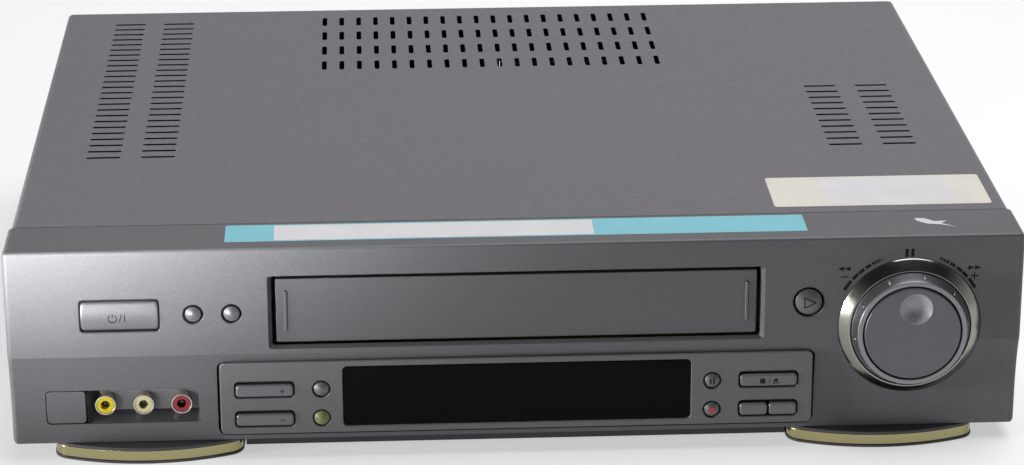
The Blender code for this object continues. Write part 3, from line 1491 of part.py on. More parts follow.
def gather(name, tools):
    """Joins tools that don't touch into one cutter."""
    shape = bmesh.new()
    bpy.context.view_layer.update()
    for tool in tools:
        mesh = tool.data.copy()
        mesh.transform(tool.matrix_world)
        shape.from_mesh(mesh)
        bpy.data.meshes.remove(mesh)
        bpy.data.objects.remove(tool)
    return add_object(name, mesh_from(name, shape), (0, 0, 0), FLAT, TOOLS)


def cover_vents():
    """Rows of slots over the boards at both sides, and a block of slots over the drum."""
    slots = []
    for side, rows in ((-1, LEFT_SLOT_ROWS), (1, RIGHT_SLOT_ROWS)):
        for column in (SIDE_SLOT_INNER_X, SIDE_SLOT_OUTER_X):
            for row in range(rows):
                depth = SIDE_SLOT_FRONT + row * SIDE_SLOT_PITCH
                slots.append(
                    vent_cutter("slot", side * column, depth, SIDE_SLOT_LENGTH, SIDE_SLOT_WIDTH)
                )
    for column in range(REAR_SLOT_COLUMNS):
        across = (column - (REAR_SLOT_COLUMNS - 1) / 2) * REAR_SLOT_PITCH_ACROSS
        for row in range(REAR_SLOT_ROWS):
            depth = REAR_SLOT_FRONT + row * REAR_SLOT_PITCH_DEEP
            slots.append(vent_cutter("slot", across, depth, REAR_SLOT_WIDTH, REAR_SLOT_LENGTH))
    return gather("vents", slots)


def cover_half():
    """Half of the cover's bent sheet as (across, height) points, from its skirt to the middle."""
    points = [(COVER_HALF_WIDTH, -COVER_SKIRT_DROP)]
    for step in range(ARC_STEPS + 1):
        angle = step / ARC_STEPS * math.pi / 2
        across = COVER_HALF_WIDTH - COVER_CORNER * (1 - math.cos(angle))
        points.append((across, BEZEL_HEIGHT - COVER_CORNER * (1 - math.sin(angle))))
    return points


def make_top_cover(finishes):
    """One bent sheet over the top and both sides, with two tabs down over the rear panel."""
    front = BEZEL_DEPTH + SEAM_GAP
    half = cover_half()
    line = half + [(-u, v) for u, v in half[::-1]]
    shape = bmesh.new()
    verts = [shape.verts.new(place(u, front, v)) for u, v in line]
    edges = [shape.edges.new(pair) for pair in zip(verts, verts[1:])]
    swept = bmesh.ops.extrude_edge_only(shape, edges=edges)["geom"]
    moved = [item for item in swept if isinstance(item, bmesh.types.BMVert)]
    bmesh.ops.translate(shape, vec=(0, BODY_DEPTH - front, 0), verts=moved)
    cover = add_object("cover", mesh_from("cover", shape), (0, 0, 0), FLAT, TOOLS)
    sheet = cover.modifiers.new("sheet", "SOLIDIFY")
    sheet.thickness = COVER_SHEET
    sheet.offset = -1
    sheet.use_even_offset = True
    outward = sum(face.normal.z for face in cover.data.polygons)
    if outward < 0:
        cover.data.flip_normals()
    top = BEZEL_HEIGHT - COVER_SHEET + OVERLAP
    for side in (-1, 1):
        tab = box(
            "tab",
            (side * TAB_X - TAB_WIDTH / 2, REAR_FACE + GAP, top - TAB_HEIGHT),
            (side * TAB_X + TAB_WIDTH / 2, BODY_DEPTH, top),
        )
        join(cover, tab)
    cut(cover, cover_vents())
    for side in (-1, 1):
        cut(cover, screw_hole(side))
    return show(cover, "top_cover", finishes["cover"])


def screw_place(side):
    """Where a cover screw's head seats, as (across, height)."""
    return side * TAB_X, BEZEL_HEIGHT - COVER_SHEET - TAB_HEIGHT / 2


def screw_hole(side):
    across, height = screw_place(side)
    start = REAR_FACE - REAR_PANEL_SHEET - OVERRUN
    return rod(
        "screw_hole", (across, start, height), SCREW_RADIUS + GAP, 3 * OVERRUN, "Y", COARSE
    )


def make_screws(finishes):
    for side, word in ((-1, "left"), (1, "right")):
        across, height = screw_place(side)
        seat = BODY_DEPTH + GAP
        profile = [
            (0, SCREW_HEAD_HEIGHT),
            (SCREW_HEAD_RADIUS / 2, SCREW_HEAD_HEIGHT),
            (SCREW_HEAD_RADIUS, SCREW_HEAD_HEIGHT / 2),
            (SCREW_HEAD_RADIUS, 0),
            (SCREW_RADIUS, 0),
            (SCREW_RADIUS, -SCREW_LENGTH),
            (0, -SCREW_LENGTH),
        ]
        turn = (-math.pi / 2, 0, 0)
        screw = turned("screw", profile, (across, seat, height), turn, COARSE)
        top = seat + SCREW_HEAD_HEIGHT
        for width, tall in (
            (SCREW_HEAD_RADIUS, SCREW_SLOT_WIDTH),
            (SCREW_SLOT_WIDTH, SCREW_HEAD_RADIUS),
        ):
            slot = box(
                "screw_slot",
                (across - width / 2, top - SCREW_SLOT_DEPTH, height - tall / 2),
                (across + width / 2, top + OVERRUN, height + tall / 2),
            )
            cut(screw, slot)
        show(smooth(screw), "cover_screw_" + word, finishes["steel"])


def deck_posts():
    """The places of the deck's four posts, as (across, depth)."""
    return [
        (side * DECK_POST_X, depth)
        for side in (-1, 1)
        for depth in (DECK_POST_FRONT, DECK_POST_REAR)
    ]


def board_posts():
    """The places of the main board's posts, as (across, depth)."""
    edge = MAIN_BOARD_HALF_WIDTH - 2 * BOARD_POST_RADIUS
    rear = MAIN_BOARD_REAR - 2 * BOARD_POST_RADIUS
    front = MAIN_BOARD_FRONT + 2 * BOARD_POST_RADIUS
    strip = MAIN_BOARD_STRIP_FRONT + 2 * BOARD_POST_RADIUS
    return [(-edge, front), (-edge, rear), (edge, rear), (edge, strip), (0, rear)]


def make_bottom_chassis(finishes):
    """A steel tray with a low front lip, side walls, vents and posts for the boards and deck."""
    rear = REAR_FACE
    tray = box(
        "tray",
        (-CHASSIS_HALF_WIDTH, CHASSIS_FRONT, -CHASSIS_DROP),
        (CHASSIS_HALF_WIDTH, rear, CHASSIS_WALL_TOP),
    )
    inside = box(
        "tray_inside",
        (-CHASSIS_HALF_WIDTH + CHASSIS_SHEET, CHASSIS_FRONT + CHASSIS_SHEET, CHASSIS_FLOOR),
        (CHASSIS_HALF_WIDTH - CHASSIS_SHEET, rear + OVERRUN, CHASSIS_WALL_TOP + OVERRUN),
    )
    under_bezel = box(
        "under_bezel",
        (-CASE_WIDTH, 0, -GAP),
        (CASE_WIDTH, BEZEL_DEPTH + GAP, CHASSIS_WALL_TOP + OVERRUN),
    )
    cut(tray, inside, under_bezel)
    foot = CHASSIS_FLOOR - CHASSIS_SHEET / 2
    for across, depth in deck_posts():
        height = DECK_HEIGHT - GAP - foot
        join(tray, rod("deck_post", (across, depth, foot), POST_RADIUS, height, "Z"))
    for across, depth in board_posts():
        height = MAIN_BOARD_HEIGHT - GAP - foot
        join(tray, rod("board_post", (across, depth, foot), BOARD_POST_RADIUS, height, "Z"))
    vents = []
    for vent in range(CHASSIS_VENTS):
        depth = CHASSIS_VENT_DEPTH + (vent - CHASSIS_VENTS / 2) * CHASSIS_VENT_PITCH
        vents.append(
            box(
                "tray_vent",
                (CHASSIS_VENT_X - CHASSIS_VENT_LENGTH / 2, depth, -CHASSIS_DROP - OVERRUN),
                (
                    CHASSIS_VENT_X + CHASSIS_VENT_LENGTH / 2,
                    depth + CHASSIS_VENT_WIDTH,
                    CHASSIS_FLOOR + OVERLAP,
                ),
            )
        )
    cut(tray, gather("tray_vents", vents))
    return show(tray, "bottom_chassis", finishes["dark_steel"])


# Rear


def scart_places():
    return [
        ("scart_socket_" + word, SCART_LOWER_HEIGHT + index * SCART_SPACING)
        for index, word in enumerate(("lower", "upper"))
    ]


def scart_outline(width, tall, skew, height):
    """The socket's slot: square at one end and cut off at the other, so a plug fits one way."""
    left = SCART_X - width / 2
    right = SCART_X + width / 2
    low = height - tall / 2
    high = height + tall / 2
    return [(left, low), (right - skew, low), (right, high - skew), (right, high), (left, high)]


def make_scart_socket(name, height, finishes):
    front = REAR_FACE - REAR_PANEL_SHEET - SCART_LENGTH
    outer = REAR_FACE + SCART_PROUD
    body = upright_slab(
        name,
        centred(SCART_X, height, SCART_WIDTH, SCART_HEIGHT, SCART_CORNER),
        front,
        outer - front,
    )
    slot = upright_slab(
        name + "_slot",
        scart_outline(SCART_SLOT_WIDTH, SCART_SLOT_HEIGHT, SCART_SLOT_SKEW, height),
        outer - SCART_SLOT_DEPTH,
        SCART_SLOT_DEPTH + OVERRUN,
    )
    margin = 2 * SCART_TONGUE_MARGIN
    tongue = upright_slab(
        name + "_tongue",
        scart_outline(
            SCART_SLOT_WIDTH - margin, SCART_SLOT_HEIGHT - margin, SCART_TONGUE_MARGIN, height
        ),
        outer - SCART_SLOT_DEPTH - OVERLAP,
        SCART_SLOT_DEPTH,
    )
    cut(body, slot)
    join(body, tongue)
    return show(body, name, finishes["black"])


def aerial_places():
    middle = TUNER_BOTTOM + TUNER_HEIGHT / 2
    return [middle - AERIAL_SPACING / 2, middle + AERIAL_SPACING / 2]


def make_tuner(finishes):
    """The shielded aerial box, with an input and an output socket through the rear panel."""
    back = REAR_FACE - REAR_PANEL_SHEET - GAP
    case = box(
        "tuner",
        (TUNER_X - TUNER_WIDTH / 2, back - TUNER_LENGTH, TUNER_BOTTOM),
        (TUNER_X + TUNER_WIDTH / 2, back, TUNER_BOTTOM + TUNER_HEIGHT),
    )
    end = BODY_DEPTH + SOCKET_PROUD
    for height in aerial_places():
        join(
            case,
            rod(
                "aerial",
                (TUNER_X, back - OVERLAP, height),
                AERIAL_RADIUS,
                end - back + OVERLAP,
                "Y",
                MEDIUM,
            ),
        )
    for height in aerial_places():
        bore = rod(
            "aerial_bore",
            (TUNER_X, end - AERIAL_BORE_DEPTH, height),
            AERIAL_BORE,
            AERIAL_BORE_DEPTH + OVERRUN,
            "Y",
            MEDIUM,
        )
        cut(case, bore)
    pin = rod(
        "aerial_pin",
        (TUNER_X, end - AERIAL_BORE_DEPTH - OVERLAP, aerial_places()[1]),
        AERIAL_PIN_RADIUS,
        AERIAL_BORE_DEPTH,
        "Y",
    )
    leg_reach = TUNER_WIDTH / 2
    leg_top = TUNER_BOTTOM + OVERLAP
    leg_bottom = MAIN_BOARD_HEIGHT + BOARD_THICKNESS + GAP
    leg = box(
        "tuner_leg",
        (TUNER_X - leg_reach, back - TUNER_LENGTH, leg_bottom),
        (TUNER_X + leg_reach, back - TUNER_LENGTH + CHASSIS_SHEET, leg_top),
    )
    join(case, pin, leg)
    return show(case, "tuner_module", finishes["steel"])


def phono_rear_places():
    middle = PHONO_BLOCK_BOTTOM + PHONO_BLOCK_HEIGHT / 2
    return [middle - PHONO_REAR_SPACING / 2, middle + PHONO_REAR_SPACING / 2]


def make_rear_phonos(finishes):
    back = REAR_FACE - REAR_PANEL_SHEET - GAP
    block = box(
        "phonos",
        (PHONO_BLOCK_X - PHONO_BLOCK_WIDTH / 2, back - PHONO_BLOCK_LENGTH, PHONO_BLOCK_BOTTOM),
        (PHONO_BLOCK_X + PHONO_BLOCK_WIDTH / 2, back, PHONO_BLOCK_BOTTOM + PHONO_BLOCK_HEIGHT),
    )
    end = BODY_DEPTH + SOCKET_PROUD - GAP
    for height in phono_rear_places():
        barrel = rod(
            "phono",
            (PHONO_BLOCK_X, back - OVERLAP, height),
            PHONO_RADIUS,
            end - back + OVERLAP,
            "Y",
            MEDIUM,
        )
        join(block, barrel)
    for height in phono_rear_places():
        bore = rod(
            "phono_bore",
            (PHONO_BLOCK_X, end - PHONO_BORE_DEPTH, height),
            PHONO_BORE,
            PHONO_BORE_DEPTH + OVERRUN,
            "Y",
        )
        cut(block, bore)
    return show(block, "rear_audio_jacks", finishes["black"])


def make_mains_inlet(finishes):
    """A two-pin mains inlet with an oval well."""
    outer = REAR_FACE + INLET_PROUD
    body = upright_slab(
        "inlet",
        centred(INLET_X, INLET_HEIGHT, INLET_WIDTH, INLET_TALL, SCART_CORNER),
        outer - INLET_LENGTH,
        INLET_LENGTH,
    )
    start = outer - INLET_WELL_DEPTH
    well = upright_slab(
        "inlet_well",
        centred(INLET_X, INLET_HEIGHT, INLET_WELL_WIDTH, INLET_WELL_TALL, INLET_WELL_CORNER),
        start,
        INLET_WELL_DEPTH + OVERRUN,
    )
    pins = [
        rod(
            "inlet_pin",
            (INLET_X + side * INLET_PIN_SPACING / 2, start - OVERLAP, INLET_HEIGHT),
            INLET_PIN_RADIUS,
            INLET_PIN_LENGTH,
            "Y",
        )
        for side in (-1, 1)
    ]
    cut(body, well)
    join(body, *pins)
    return show(body, "mains_inlet", finishes["black"])


def make_rear_panel(finishes):
    front = REAR_FACE - REAR_PANEL_SHEET
    outline = rounded_rectangle(
        -CHASSIS_HALF_WIDTH,
        CHASSIS_HALF_WIDTH,
        CHASSIS_FLOOR + GAP,
        BEZEL_HEIGHT - COVER_SHEET - GAP,
        COVER_CORNER,
    )
    panel = upright_slab("rear", outline, front, REAR_PANEL_SHEET)
    notch_depth = CHASSIS_SHEET + GAP
    for side in (-1, 1):
        edge = side * CHASSIS_HALF_WIDTH
        ends = sorted((edge + side * OVERRUN, edge - side * notch_depth))
        notch = box(
            "rear_notch",
            (ends[0], front - OVERRUN, -OVERRUN),
            (ends[1], REAR_FACE + OVERRUN, CHASSIS_WALL_TOP + GAP),
        )
        cut(panel, notch, screw_hole(side))
    thickness = 2 * OVERRUN + REAR_PANEL_SHEET
    start = front - OVERRUN
    for name, height in scart_places():
        outline = centred(
            SCART_X, height, SCART_WIDTH + 2 * GAP, SCART_HEIGHT + 2 * GAP, SCART_CORNER
        )
        cut(panel, upright_slab(name + "_hole", outline, start, thickness))
    inlet = centred(
        INLET_X, INLET_HEIGHT, INLET_WIDTH + 2 * GAP, INLET_TALL + 2 * GAP, SCART_CORNER
    )
    cut(panel, upright_slab("inlet_hole", inlet, start, thickness))
    for height in aerial_places():
        hole = rod(
            "aerial_hole", (TUNER_X, start, height), AERIAL_RADIUS + GAP, thickness, "Y", MEDIUM
        )
        cut(panel, hole)
    for height in phono_rear_places():
        hole = rod(
            "phono_hole",
            (PHONO_BLOCK_X, start, height),
            PHONO_RADIUS + GAP,
            thickness,
            "Y",
            MEDIUM,
        )
        cut(panel, hole)
    return show(panel, "rear_panel", finishes["dark_steel"])


# Boards inside


def make_main_board(finishes):
    half = MAIN_BOARD_HALF_WIDTH
    left_inner = MAIN_BOARD_LEFT_WIDTH - half
    outline = [
        (-half, MAIN_BOARD_FRONT),
        (left_inner, MAIN_BOARD_FRONT),
        (left_inner, MAIN_BOARD_STRIP_FRONT),
        (half, MAIN_BOARD_STRIP_FRONT),
        (half, MAIN_BOARD_REAR),
        (-half, MAIN_BOARD_REAR),
    ]
    board = flat_slab("main", outline, MAIN_BOARD_HEIGHT, BOARD_THICKNESS)
    top = MAIN_BOARD_HEIGHT + BOARD_THICKNESS - OVERLAP
    spots = (MAIN_BOARD_FRONT + CHIP_SIZE, MAIN_BOARD_FRONT + 3 * CHIP_SIZE)
    middle = -half + MAIN_BOARD_LEFT_WIDTH / 2
    for depth in spots:
        chip = box(
            "chip",
            (middle - CHIP_SIZE / 2, depth, top),
            (middle + CHIP_SIZE / 2, depth + CHIP_SIZE, top + CHIP_HEIGHT),
        )
        can = rod(
            "capacitor",
            (middle + CHIP_SIZE, depth + CHIP_SIZE + 2 * CAPACITOR_RADIUS, top),
            CAPACITOR_RADIUS,
            CAPACITOR_HEIGHT,
            "Z",
        )
        join(board, chip, can)
    return show(board, "main_board", finishes["board"])


def make_power_supply(finishes):
    """The supply's own board on legs, with its transformer, smoothing can and cooling fins."""
    base = MAIN_BOARD_HEIGHT + BOARD_THICKNESS + GAP
    plate_bottom = base + SUPPLY_LIFT
    plate_top = plate_bottom + SUPPLY_BASE
    right = SUPPLY_LEFT + SUPPLY_WIDTH
    rear = SUPPLY_FRONT + SUPPLY_LENGTH
    board = box(
        "supply", (SUPPLY_LEFT, SUPPLY_FRONT, plate_bottom), (right, rear, plate_top)
    )
    reach = BOARD_POST_RADIUS
    for across in (SUPPLY_LEFT + reach, right - reach):
        for depth in (SUPPLY_FRONT + reach, rear - reach):
            leg = rod("supply_leg", (across, depth, base), reach, SUPPLY_LIFT + OVERLAP, "Z")
            join(board, leg)
    margin = SUPPLY_CAN_RADIUS / 2
    coil = box(
        "transformer",
        (SUPPLY_LEFT + margin, SUPPLY_FRONT + margin, plate_top - OVERLAP),
        (
            SUPPLY_LEFT + margin + TRANSFORMER_SIZE,
            SUPPLY_FRONT + margin + TRANSFORMER_SIZE,
            plate_top + TRANSFORMER_HEIGHT,
        ),
        margin / 2,
    )
    can = rod(
        "supply_can",
        (SUPPLY_LEFT + margin + SUPPLY_CAN_RADIUS, rear - 2 * SUPPLY_CAN_RADIUS, plate_top - OVERLAP),
        SUPPLY_CAN_RADIUS,
        SUPPLY_CAN_HEIGHT,
        "Z",
        MEDIUM,
    )
    fin = box(
        "supply_fin",
        (right - 2 * margin, SUPPLY_FRONT + margin, plate_top - OVERLAP),
        (right - 2 * margin + SUPPLY_FIN_THICKNESS, rear - margin, plate_top + SUPPLY_FIN_HEIGHT),
    )
    join(board, coil, can, fin)
    return show(board, "power_supply", finishes["board"])


# Tape deck


def track_outline(side):
    """The slanting track that a tape guide's key runs in, as (across, depth) points."""
    heading = math.atan2(GUIDE_ADVANCE, side * GUIDE_SPREAD)
    reach = GUIDE_TRACK_WIDTH / 2
    ends = (
        (side * GUIDE_REST_X, GUIDE_REST_DEPTH, heading + math.pi / 2),
        (
            side * (GUIDE_REST_X + GUIDE_SPREAD),
            GUIDE_REST_DEPTH + GUIDE_ADVANCE,
            heading - math.pi / 2,
        ),
    )
    points = []
    for across, depth, start in ends:
        for step in range(CURVE_STEPS + 1):
            angle = start + math.pi * step / CURVE_STEPS
            points.append((across + reach * math.cos(angle), depth + reach * math.sin(angle)))
    return points


def deck_hole(name, across, depth, radius, steps=COARSE):
    return rod(
        name, (across, depth, DECK_HEIGHT - OVERRUN), radius, DECK_SHEET + 2 * OVERRUN, "Z", steps
    )


def make_deck_plate(finishes):
    """The stamped plate that carries the tape deck, with a bearing tube for the capstan."""
    deck = box(
        "deck",
        (-DECK_HALF_WIDTH, DECK_FRONT, DECK_HEIGHT),
        (DECK_HALF_WIDTH, DECK_REAR, DECK_TOP),
    )
    bearing = rod(
        "bearing",
        (CAPSTAN_X, CAPSTAN_DEPTH, DECK_TOP - OVERLAP),
        CAPSTAN_BEARING_RADIUS,
        CAPSTAN_BEARING_TOP - DECK_TOP + OVERLAP,
        "Z",
        MEDIUM,
    )
    pivot = rod(
        "pinch_pivot",
        (PINCH_PIVOT_X, PINCH_PIVOT_DEPTH, DECK_TOP - OVERLAP),
        PINCH_PIVOT_RADIUS,
        PINCH_ARM_HEIGHT + PINCH_ARM_THICKNESS + GAP - DECK_TOP + OVERLAP,
        "Z",
    )
    collar = rod(
        "pinch_collar",
        (PINCH_PIVOT_X, PINCH_PIVOT_DEPTH, DECK_TOP - OVERLAP),
        2 * PINCH_PIVOT_RADIUS,
        PINCH_ARM_HEIGHT - GAP - DECK_TOP + OVERLAP,
        "Z",
    )
    join(deck, bearing, pivot, collar)
    shaft = rod(
        "capstan_hole",
        (CAPSTAN_X, CAPSTAN_DEPTH, DECK_HEIGHT - OVERRUN),
        CAPSTAN_RADIUS + GAP,
        CAPSTAN_BEARING_TOP - DECK_HEIGHT + 2 * OVERRUN,
        "Z",
    )
    cut(deck, shaft)
    for side in (-1, 1):
        reel = deck_hole("reel_hole", side * REEL_SPACING / 2, REEL_DEPTH, REEL_SHAFT_RADIUS + GAP)
        thickness = DECK_SHEET + 2 * OVERRUN
        track = flat_slab("track", track_outline(side), DECK_HEIGHT - OVERRUN, thickness)
        cut(deck, reel, track)
    return show(deck, "deck_plate", finishes["steel"])


def make_bracket(name, side, finishes):
    """A side plate that stands on the deck and guides the carriage in a level slot."""
    ends = sorted((side * BRACKET_INNER, side * BRACKET_OUTER))
    plate = box(name, (ends[0], DECK_FRONT, SEAT), (ends[1], BRACKET_REAR, BRACKET_TOP))
    foot_ends = sorted((side * BRACKET_INNER, side * (BRACKET_INNER + BRACKET_FOOT)))
    foot = box(
        name + "_foot",
        (foot_ends[0], DECK_FRONT, SEAT),
        (foot_ends[1], BRACKET_REAR, SEAT + BRACKET_SHEET),
    )
    clear = GUIDE_PIN_RADIUS + GAP
    first = CARRIAGE_MIDDLE - CARRIAGE_PIN_SPACING / 2 - clear
    last = CARRIAGE_MIDDLE + CARRIAGE_PIN_SPACING / 2 + CARRIAGE_TRAVEL + clear
    slot = box(
        name + "_slot",
        (ends[0] - OVERLAP, first, CARRIAGE_PIN_HEIGHT - clear),
        (ends[1] + OVERLAP, last, CARRIAGE_PIN_HEIGHT + clear),
    )
    join(plate, foot)
    cut(plate, slot)
    return show(plate, name, finishes["steel"])


def make_carriage(finishes):
    """Two slotted cheeks and a bridge: it slides inwards and lets the holder drop in it."""
    bridge = box(
        "carriage",
        (-CARRIAGE_OUTER, CARRIAGE_MIDDLE - CARRIAGE_BAR_LENGTH / 2, CARRIAGE_TOP - CARRIAGE_SHEET),
        (CARRIAGE_OUTER, CARRIAGE_MIDDLE + CARRIAGE_BAR_LENGTH / 2, CARRIAGE_TOP),
    )
    clear = GUIDE_PIN_RADIUS + GAP
    for side in (-1, 1):
        ends = sorted((side * CARRIAGE_INNER, side * CARRIAGE_OUTER))
        cheek = box(
            "cheek",
            (ends[0], CARRIAGE_FRONT, CARRIAGE_BOTTOM),
            (ends[1], CARRIAGE_FRONT + CARRIAGE_LENGTH, CARRIAGE_TOP - OVERLAP / 2),
        )
        join(bridge, cheek)
        for step in (-1, 1):
            depth = CARRIAGE_MIDDLE + step * CARRIAGE_PIN_SPACING / 2
            length = BRACKET_OUTER - CARRIAGE_OUTER + OVERLAP
            start = CARRIAGE_OUTER - OVERLAP if side > 0 else -CARRIAGE_OUTER + OVERLAP - length
            pin = rod(
                "carriage_pin", (start, depth, CARRIAGE_PIN_HEIGHT), GUIDE_PIN_RADIUS, length, "X"
            )
            join(bridge, pin)
            slot_depth = CARRIAGE_MIDDLE + step * HOLDER_PIN_SPACING / 2
            slot = box(
                "lift_slot",
                (
                    ends[0] - OVERLAP,
                    slot_depth - clear,
                    HOLDER_PIN_HEIGHT - LIFT_TRAVEL - clear,
                ),
                (ends[1] + OVERLAP, slot_depth + clear, HOLDER_PIN_HEIGHT + clear),
            )
            cut(bridge, slot)
    return show(bridge, "holder_carriage", finishes["steel"])


def make_cassette_holder(finishes):
    """The basket: open at both ends and, between its ledges, below for the reels."""
    rear = HOLDER_FRONT + HOLDER_LENGTH
    holder = box(
        "holder",
        (-HOLDER_OUTER, HOLDER_FRONT, HOLDER_FLOOR),
        (HOLDER_OUTER, rear, HOLDER_TOP + HOLDER_SHEET),
    )
    inside = box(
        "holder_inside",
        (-HOLDER_INNER, HOLDER_FRONT - OVERRUN, HOLDER_MOUTH),
        (HOLDER_INNER, rear + OVERRUN, HOLDER_TOP),
    )
    ledge = HOLDER_INNER - HOLDER_LEDGE
    below = box(
        "holder_below",
        (-ledge, HOLDER_FRONT - OVERRUN, HOLDER_FLOOR - OVERRUN),
        (ledge, rear + OVERRUN, HOLDER_MOUTH + OVERLAP),
    )
    window = HOLDER_LENGTH * HOLDER_TOP_CUT_SHARE / 2
    middle = rear - window
    above = box(
        "holder_above",
        (-ledge, middle - window / 2, HOLDER_TOP - OVERLAP),
        (ledge, middle + window / 2, HOLDER_TOP + OVERRUN),
    )
    for side in (-1, 1):
        for step in (-1, 1):
            depth = CARRIAGE_MIDDLE + step * HOLDER_PIN_SPACING / 2
            length = CARRIAGE_OUTER - HOLDER_OUTER
            start = HOLDER_OUTER - OVERLAP if side > 0 else -HOLDER_OUTER + OVERLAP - length
            pin = rod(
                "holder_pin", (start, depth, HOLDER_PIN_HEIGHT), GUIDE_PIN_RADIUS, length, "X"
            )
            join(holder, pin)
    cut(holder, inside, below, above)
    return show(holder, "cassette_holder", finishes["steel"])


def make_reel(name, side, finishes):
    """A reel table with a keyed spindle, on a shaft through the deck."""
    profile = [
        (0, REEL_SPINDLE_HEIGHT),
        (REEL_TIP_RADIUS, REEL_SPINDLE_HEIGHT),
        (REEL_SPINDLE_RADIUS, REEL_SPINDLE_HEIGHT - REEL_TIP_RADIUS),
        (REEL_SPINDLE_RADIUS, REEL_HUB_HEIGHT),
        (REEL_HUB_RADIUS, REEL_HUB_HEIGHT),
        (REEL_HUB_RADIUS, REEL_TABLE_HEIGHT),
        (REEL_TABLE_RADIUS, REEL_TABLE_HEIGHT),
        (REEL_TABLE_RADIUS, 0),
        (REEL_SHAFT_RADIUS, 0),
        (REEL_SHAFT_RADIUS, -REEL_SHAFT_LENGTH),
        (0, -REEL_SHAFT_LENGTH),
    ]
    across = side * REEL_SPACING / 2
    reel = turned(name, profile, (across, REEL_DEPTH, SEAT), FLAT, MEDIUM)
    for key in range(REEL_KEYS):
        fin = box(
            name + "_key",
            (across, REEL_DEPTH - REEL_KEY_WIDTH / 2, SEAT + REEL_HUB_HEIGHT - OVERLAP),
            (
                across + REEL_SPINDLE_RADIUS + REEL_KEY_REACH,
                REEL_DEPTH + REEL_KEY_WIDTH / 2,
                SEAT + REEL_SPINDLE_HEIGHT - 2 * REEL_TIP_RADIUS,
            ),
        )
        set_origin(fin, place(across, REEL_DEPTH, SEAT))
        fin.rotation_euler = (0, 0, key * 2 * math.pi / REEL_KEYS)
        join(reel, fin)
    return show(smooth(reel), name, finishes["cream"])


def make_lower_drum(finishes):
    """The fixed half of the tilted drum on its upright base."""
    tilt = (0, DRUM_TILT, 0)
    start = (0, DRUM_DEPTH, DRUM_BASE_HEIGHT)
    bore = DRUM_SHAFT_RADIUS + GAP
    profile = [
        (0, LOWER_DRUM_HEIGHT - DRUM_SHAFT_LENGTH),
        (bore, LOWER_DRUM_HEIGHT - DRUM_SHAFT_LENGTH),
        (bore, LOWER_DRUM_HEIGHT),
        (DRUM_RADIUS, LOWER_DRUM_HEIGHT),
        (DRUM_RADIUS, 0),
        (0, 0),
    ]
    drum = turned("lower", profile, start, tilt)
    base = rod(
        "drum_base",
        (0, DRUM_DEPTH, SEAT),
        DRUM_BASE_RADIUS,
        DRUM_BASE_HEIGHT - SEAT + LOWER_DRUM_HEIGHT / 4,
        "Z",
        MEDIUM,
    )
    join(drum, base)
    return show(smooth(drum), "lower_drum", finishes["aluminium"])


def make_upper_drum(finishes):
    """The spinning half with its head windows and a recess round its clamp."""
    tilt = (0, DRUM_TILT, 0)
    start = (0, DRUM_DEPTH, DRUM_BASE_HEIGHT)
    bottom = LOWER_DRUM_HEIGHT + GAP
    top = bottom + UPPER_DRUM_HEIGHT
    foot = bottom - DRUM_SHAFT_LENGTH + 2 * GAP
    profile = [
        (0, top),
        (DRUM_CAP_RADIUS, top),
        (DRUM_CAP_RADIUS, top - DRUM_RECESS),
        (DRUM_RADIUS - DRUM_RIM, top - DRUM_RECESS),
        (DRUM_RADIUS - DRUM_RIM, top),
        (DRUM_RADIUS, top),
        (DRUM_RADIUS, bottom),
        (DRUM_SHAFT_RADIUS, bottom),
        (DRUM_SHAFT_RADIUS, foot),
        (0, foot),
    ]
    drum = turned("upper", profile, start, tilt)
    for head in range(DRUM_HEADS):
        shape = bmesh.new()
        bmesh.ops.create_cube(shape, size=1)
        size = (2 * DRUM_HEAD_DEPTH, DRUM_HEAD_WIDTH, 2 * DRUM_HEAD_DEPTH)
        bmesh.ops.scale(shape, vec=size, verts=shape.verts)
        bmesh.ops.translate(shape, vec=(DRUM_RADIUS, 0, bottom), verts=shape.verts)
        window = add_object("head", mesh_from("head", shape), place(*start), FLAT, TOOLS)
        spin = Euler((0, 0, head * 2 * math.pi / DRUM_HEADS))
        window.rotation_euler = (Euler(tilt).to_matrix() @ spin.to_matrix()).to_euler()
        cut(drum, window)
    return show(smooth(drum), "upper_drum", finishes["aluminium"])


def make_tape_guide(name, side, finishes):
    """A flanged roller on a base that runs in a slanting track past the drum."""
    across = side * GUIDE_REST_X
    depth = GUIDE_REST_DEPTH
    top = GUIDE_TOP
    base_top = SEAT + GUIDE_BASE_HEIGHT
    profile = [
        (0, top),
        (GUIDE_FLANGE_RADIUS, top),
        (GUIDE_FLANGE_RADIUS, top - GUIDE_FLANGE_HEIGHT),
        (GUIDE_ROLLER_RADIUS, top - GUIDE_FLANGE_HEIGHT),
        (GUIDE_ROLLER_RADIUS, GUIDE_ROLLER_BOTTOM + GUIDE_FLANGE_HEIGHT),
        (GUIDE_FLANGE_RADIUS, GUIDE_ROLLER_BOTTOM + GUIDE_FLANGE_HEIGHT),
        (GUIDE_FLANGE_RADIUS, GUIDE_ROLLER_BOTTOM),
        (GUIDE_POST_RADIUS, GUIDE_ROLLER_BOTTOM),
        (GUIDE_POST_RADIUS, base_top - OVERLAP),
        (0, base_top - OVERLAP),
    ]
    post = turned(name, profile, (across, depth, 0), FLAT, COARSE)
    reach = GUIDE_BASE_SIZE / 2
    base = box(
        name + "_base",
        (across - reach, depth - reach, SEAT),
        (across + reach, depth + reach, base_top),
    )
    key = rod(
        name + "_key",
        (across, depth, DECK_HEIGHT - GUIDE_KEY_LENGTH),
        GUIDE_TRACK_WIDTH / 2 - GAP,
        SEAT - DECK_HEIGHT + GUIDE_KEY_LENGTH + OVERLAP,
        "Z",
    )
    join(post, base, key)
    return show(smooth(post), name, finishes["steel"])


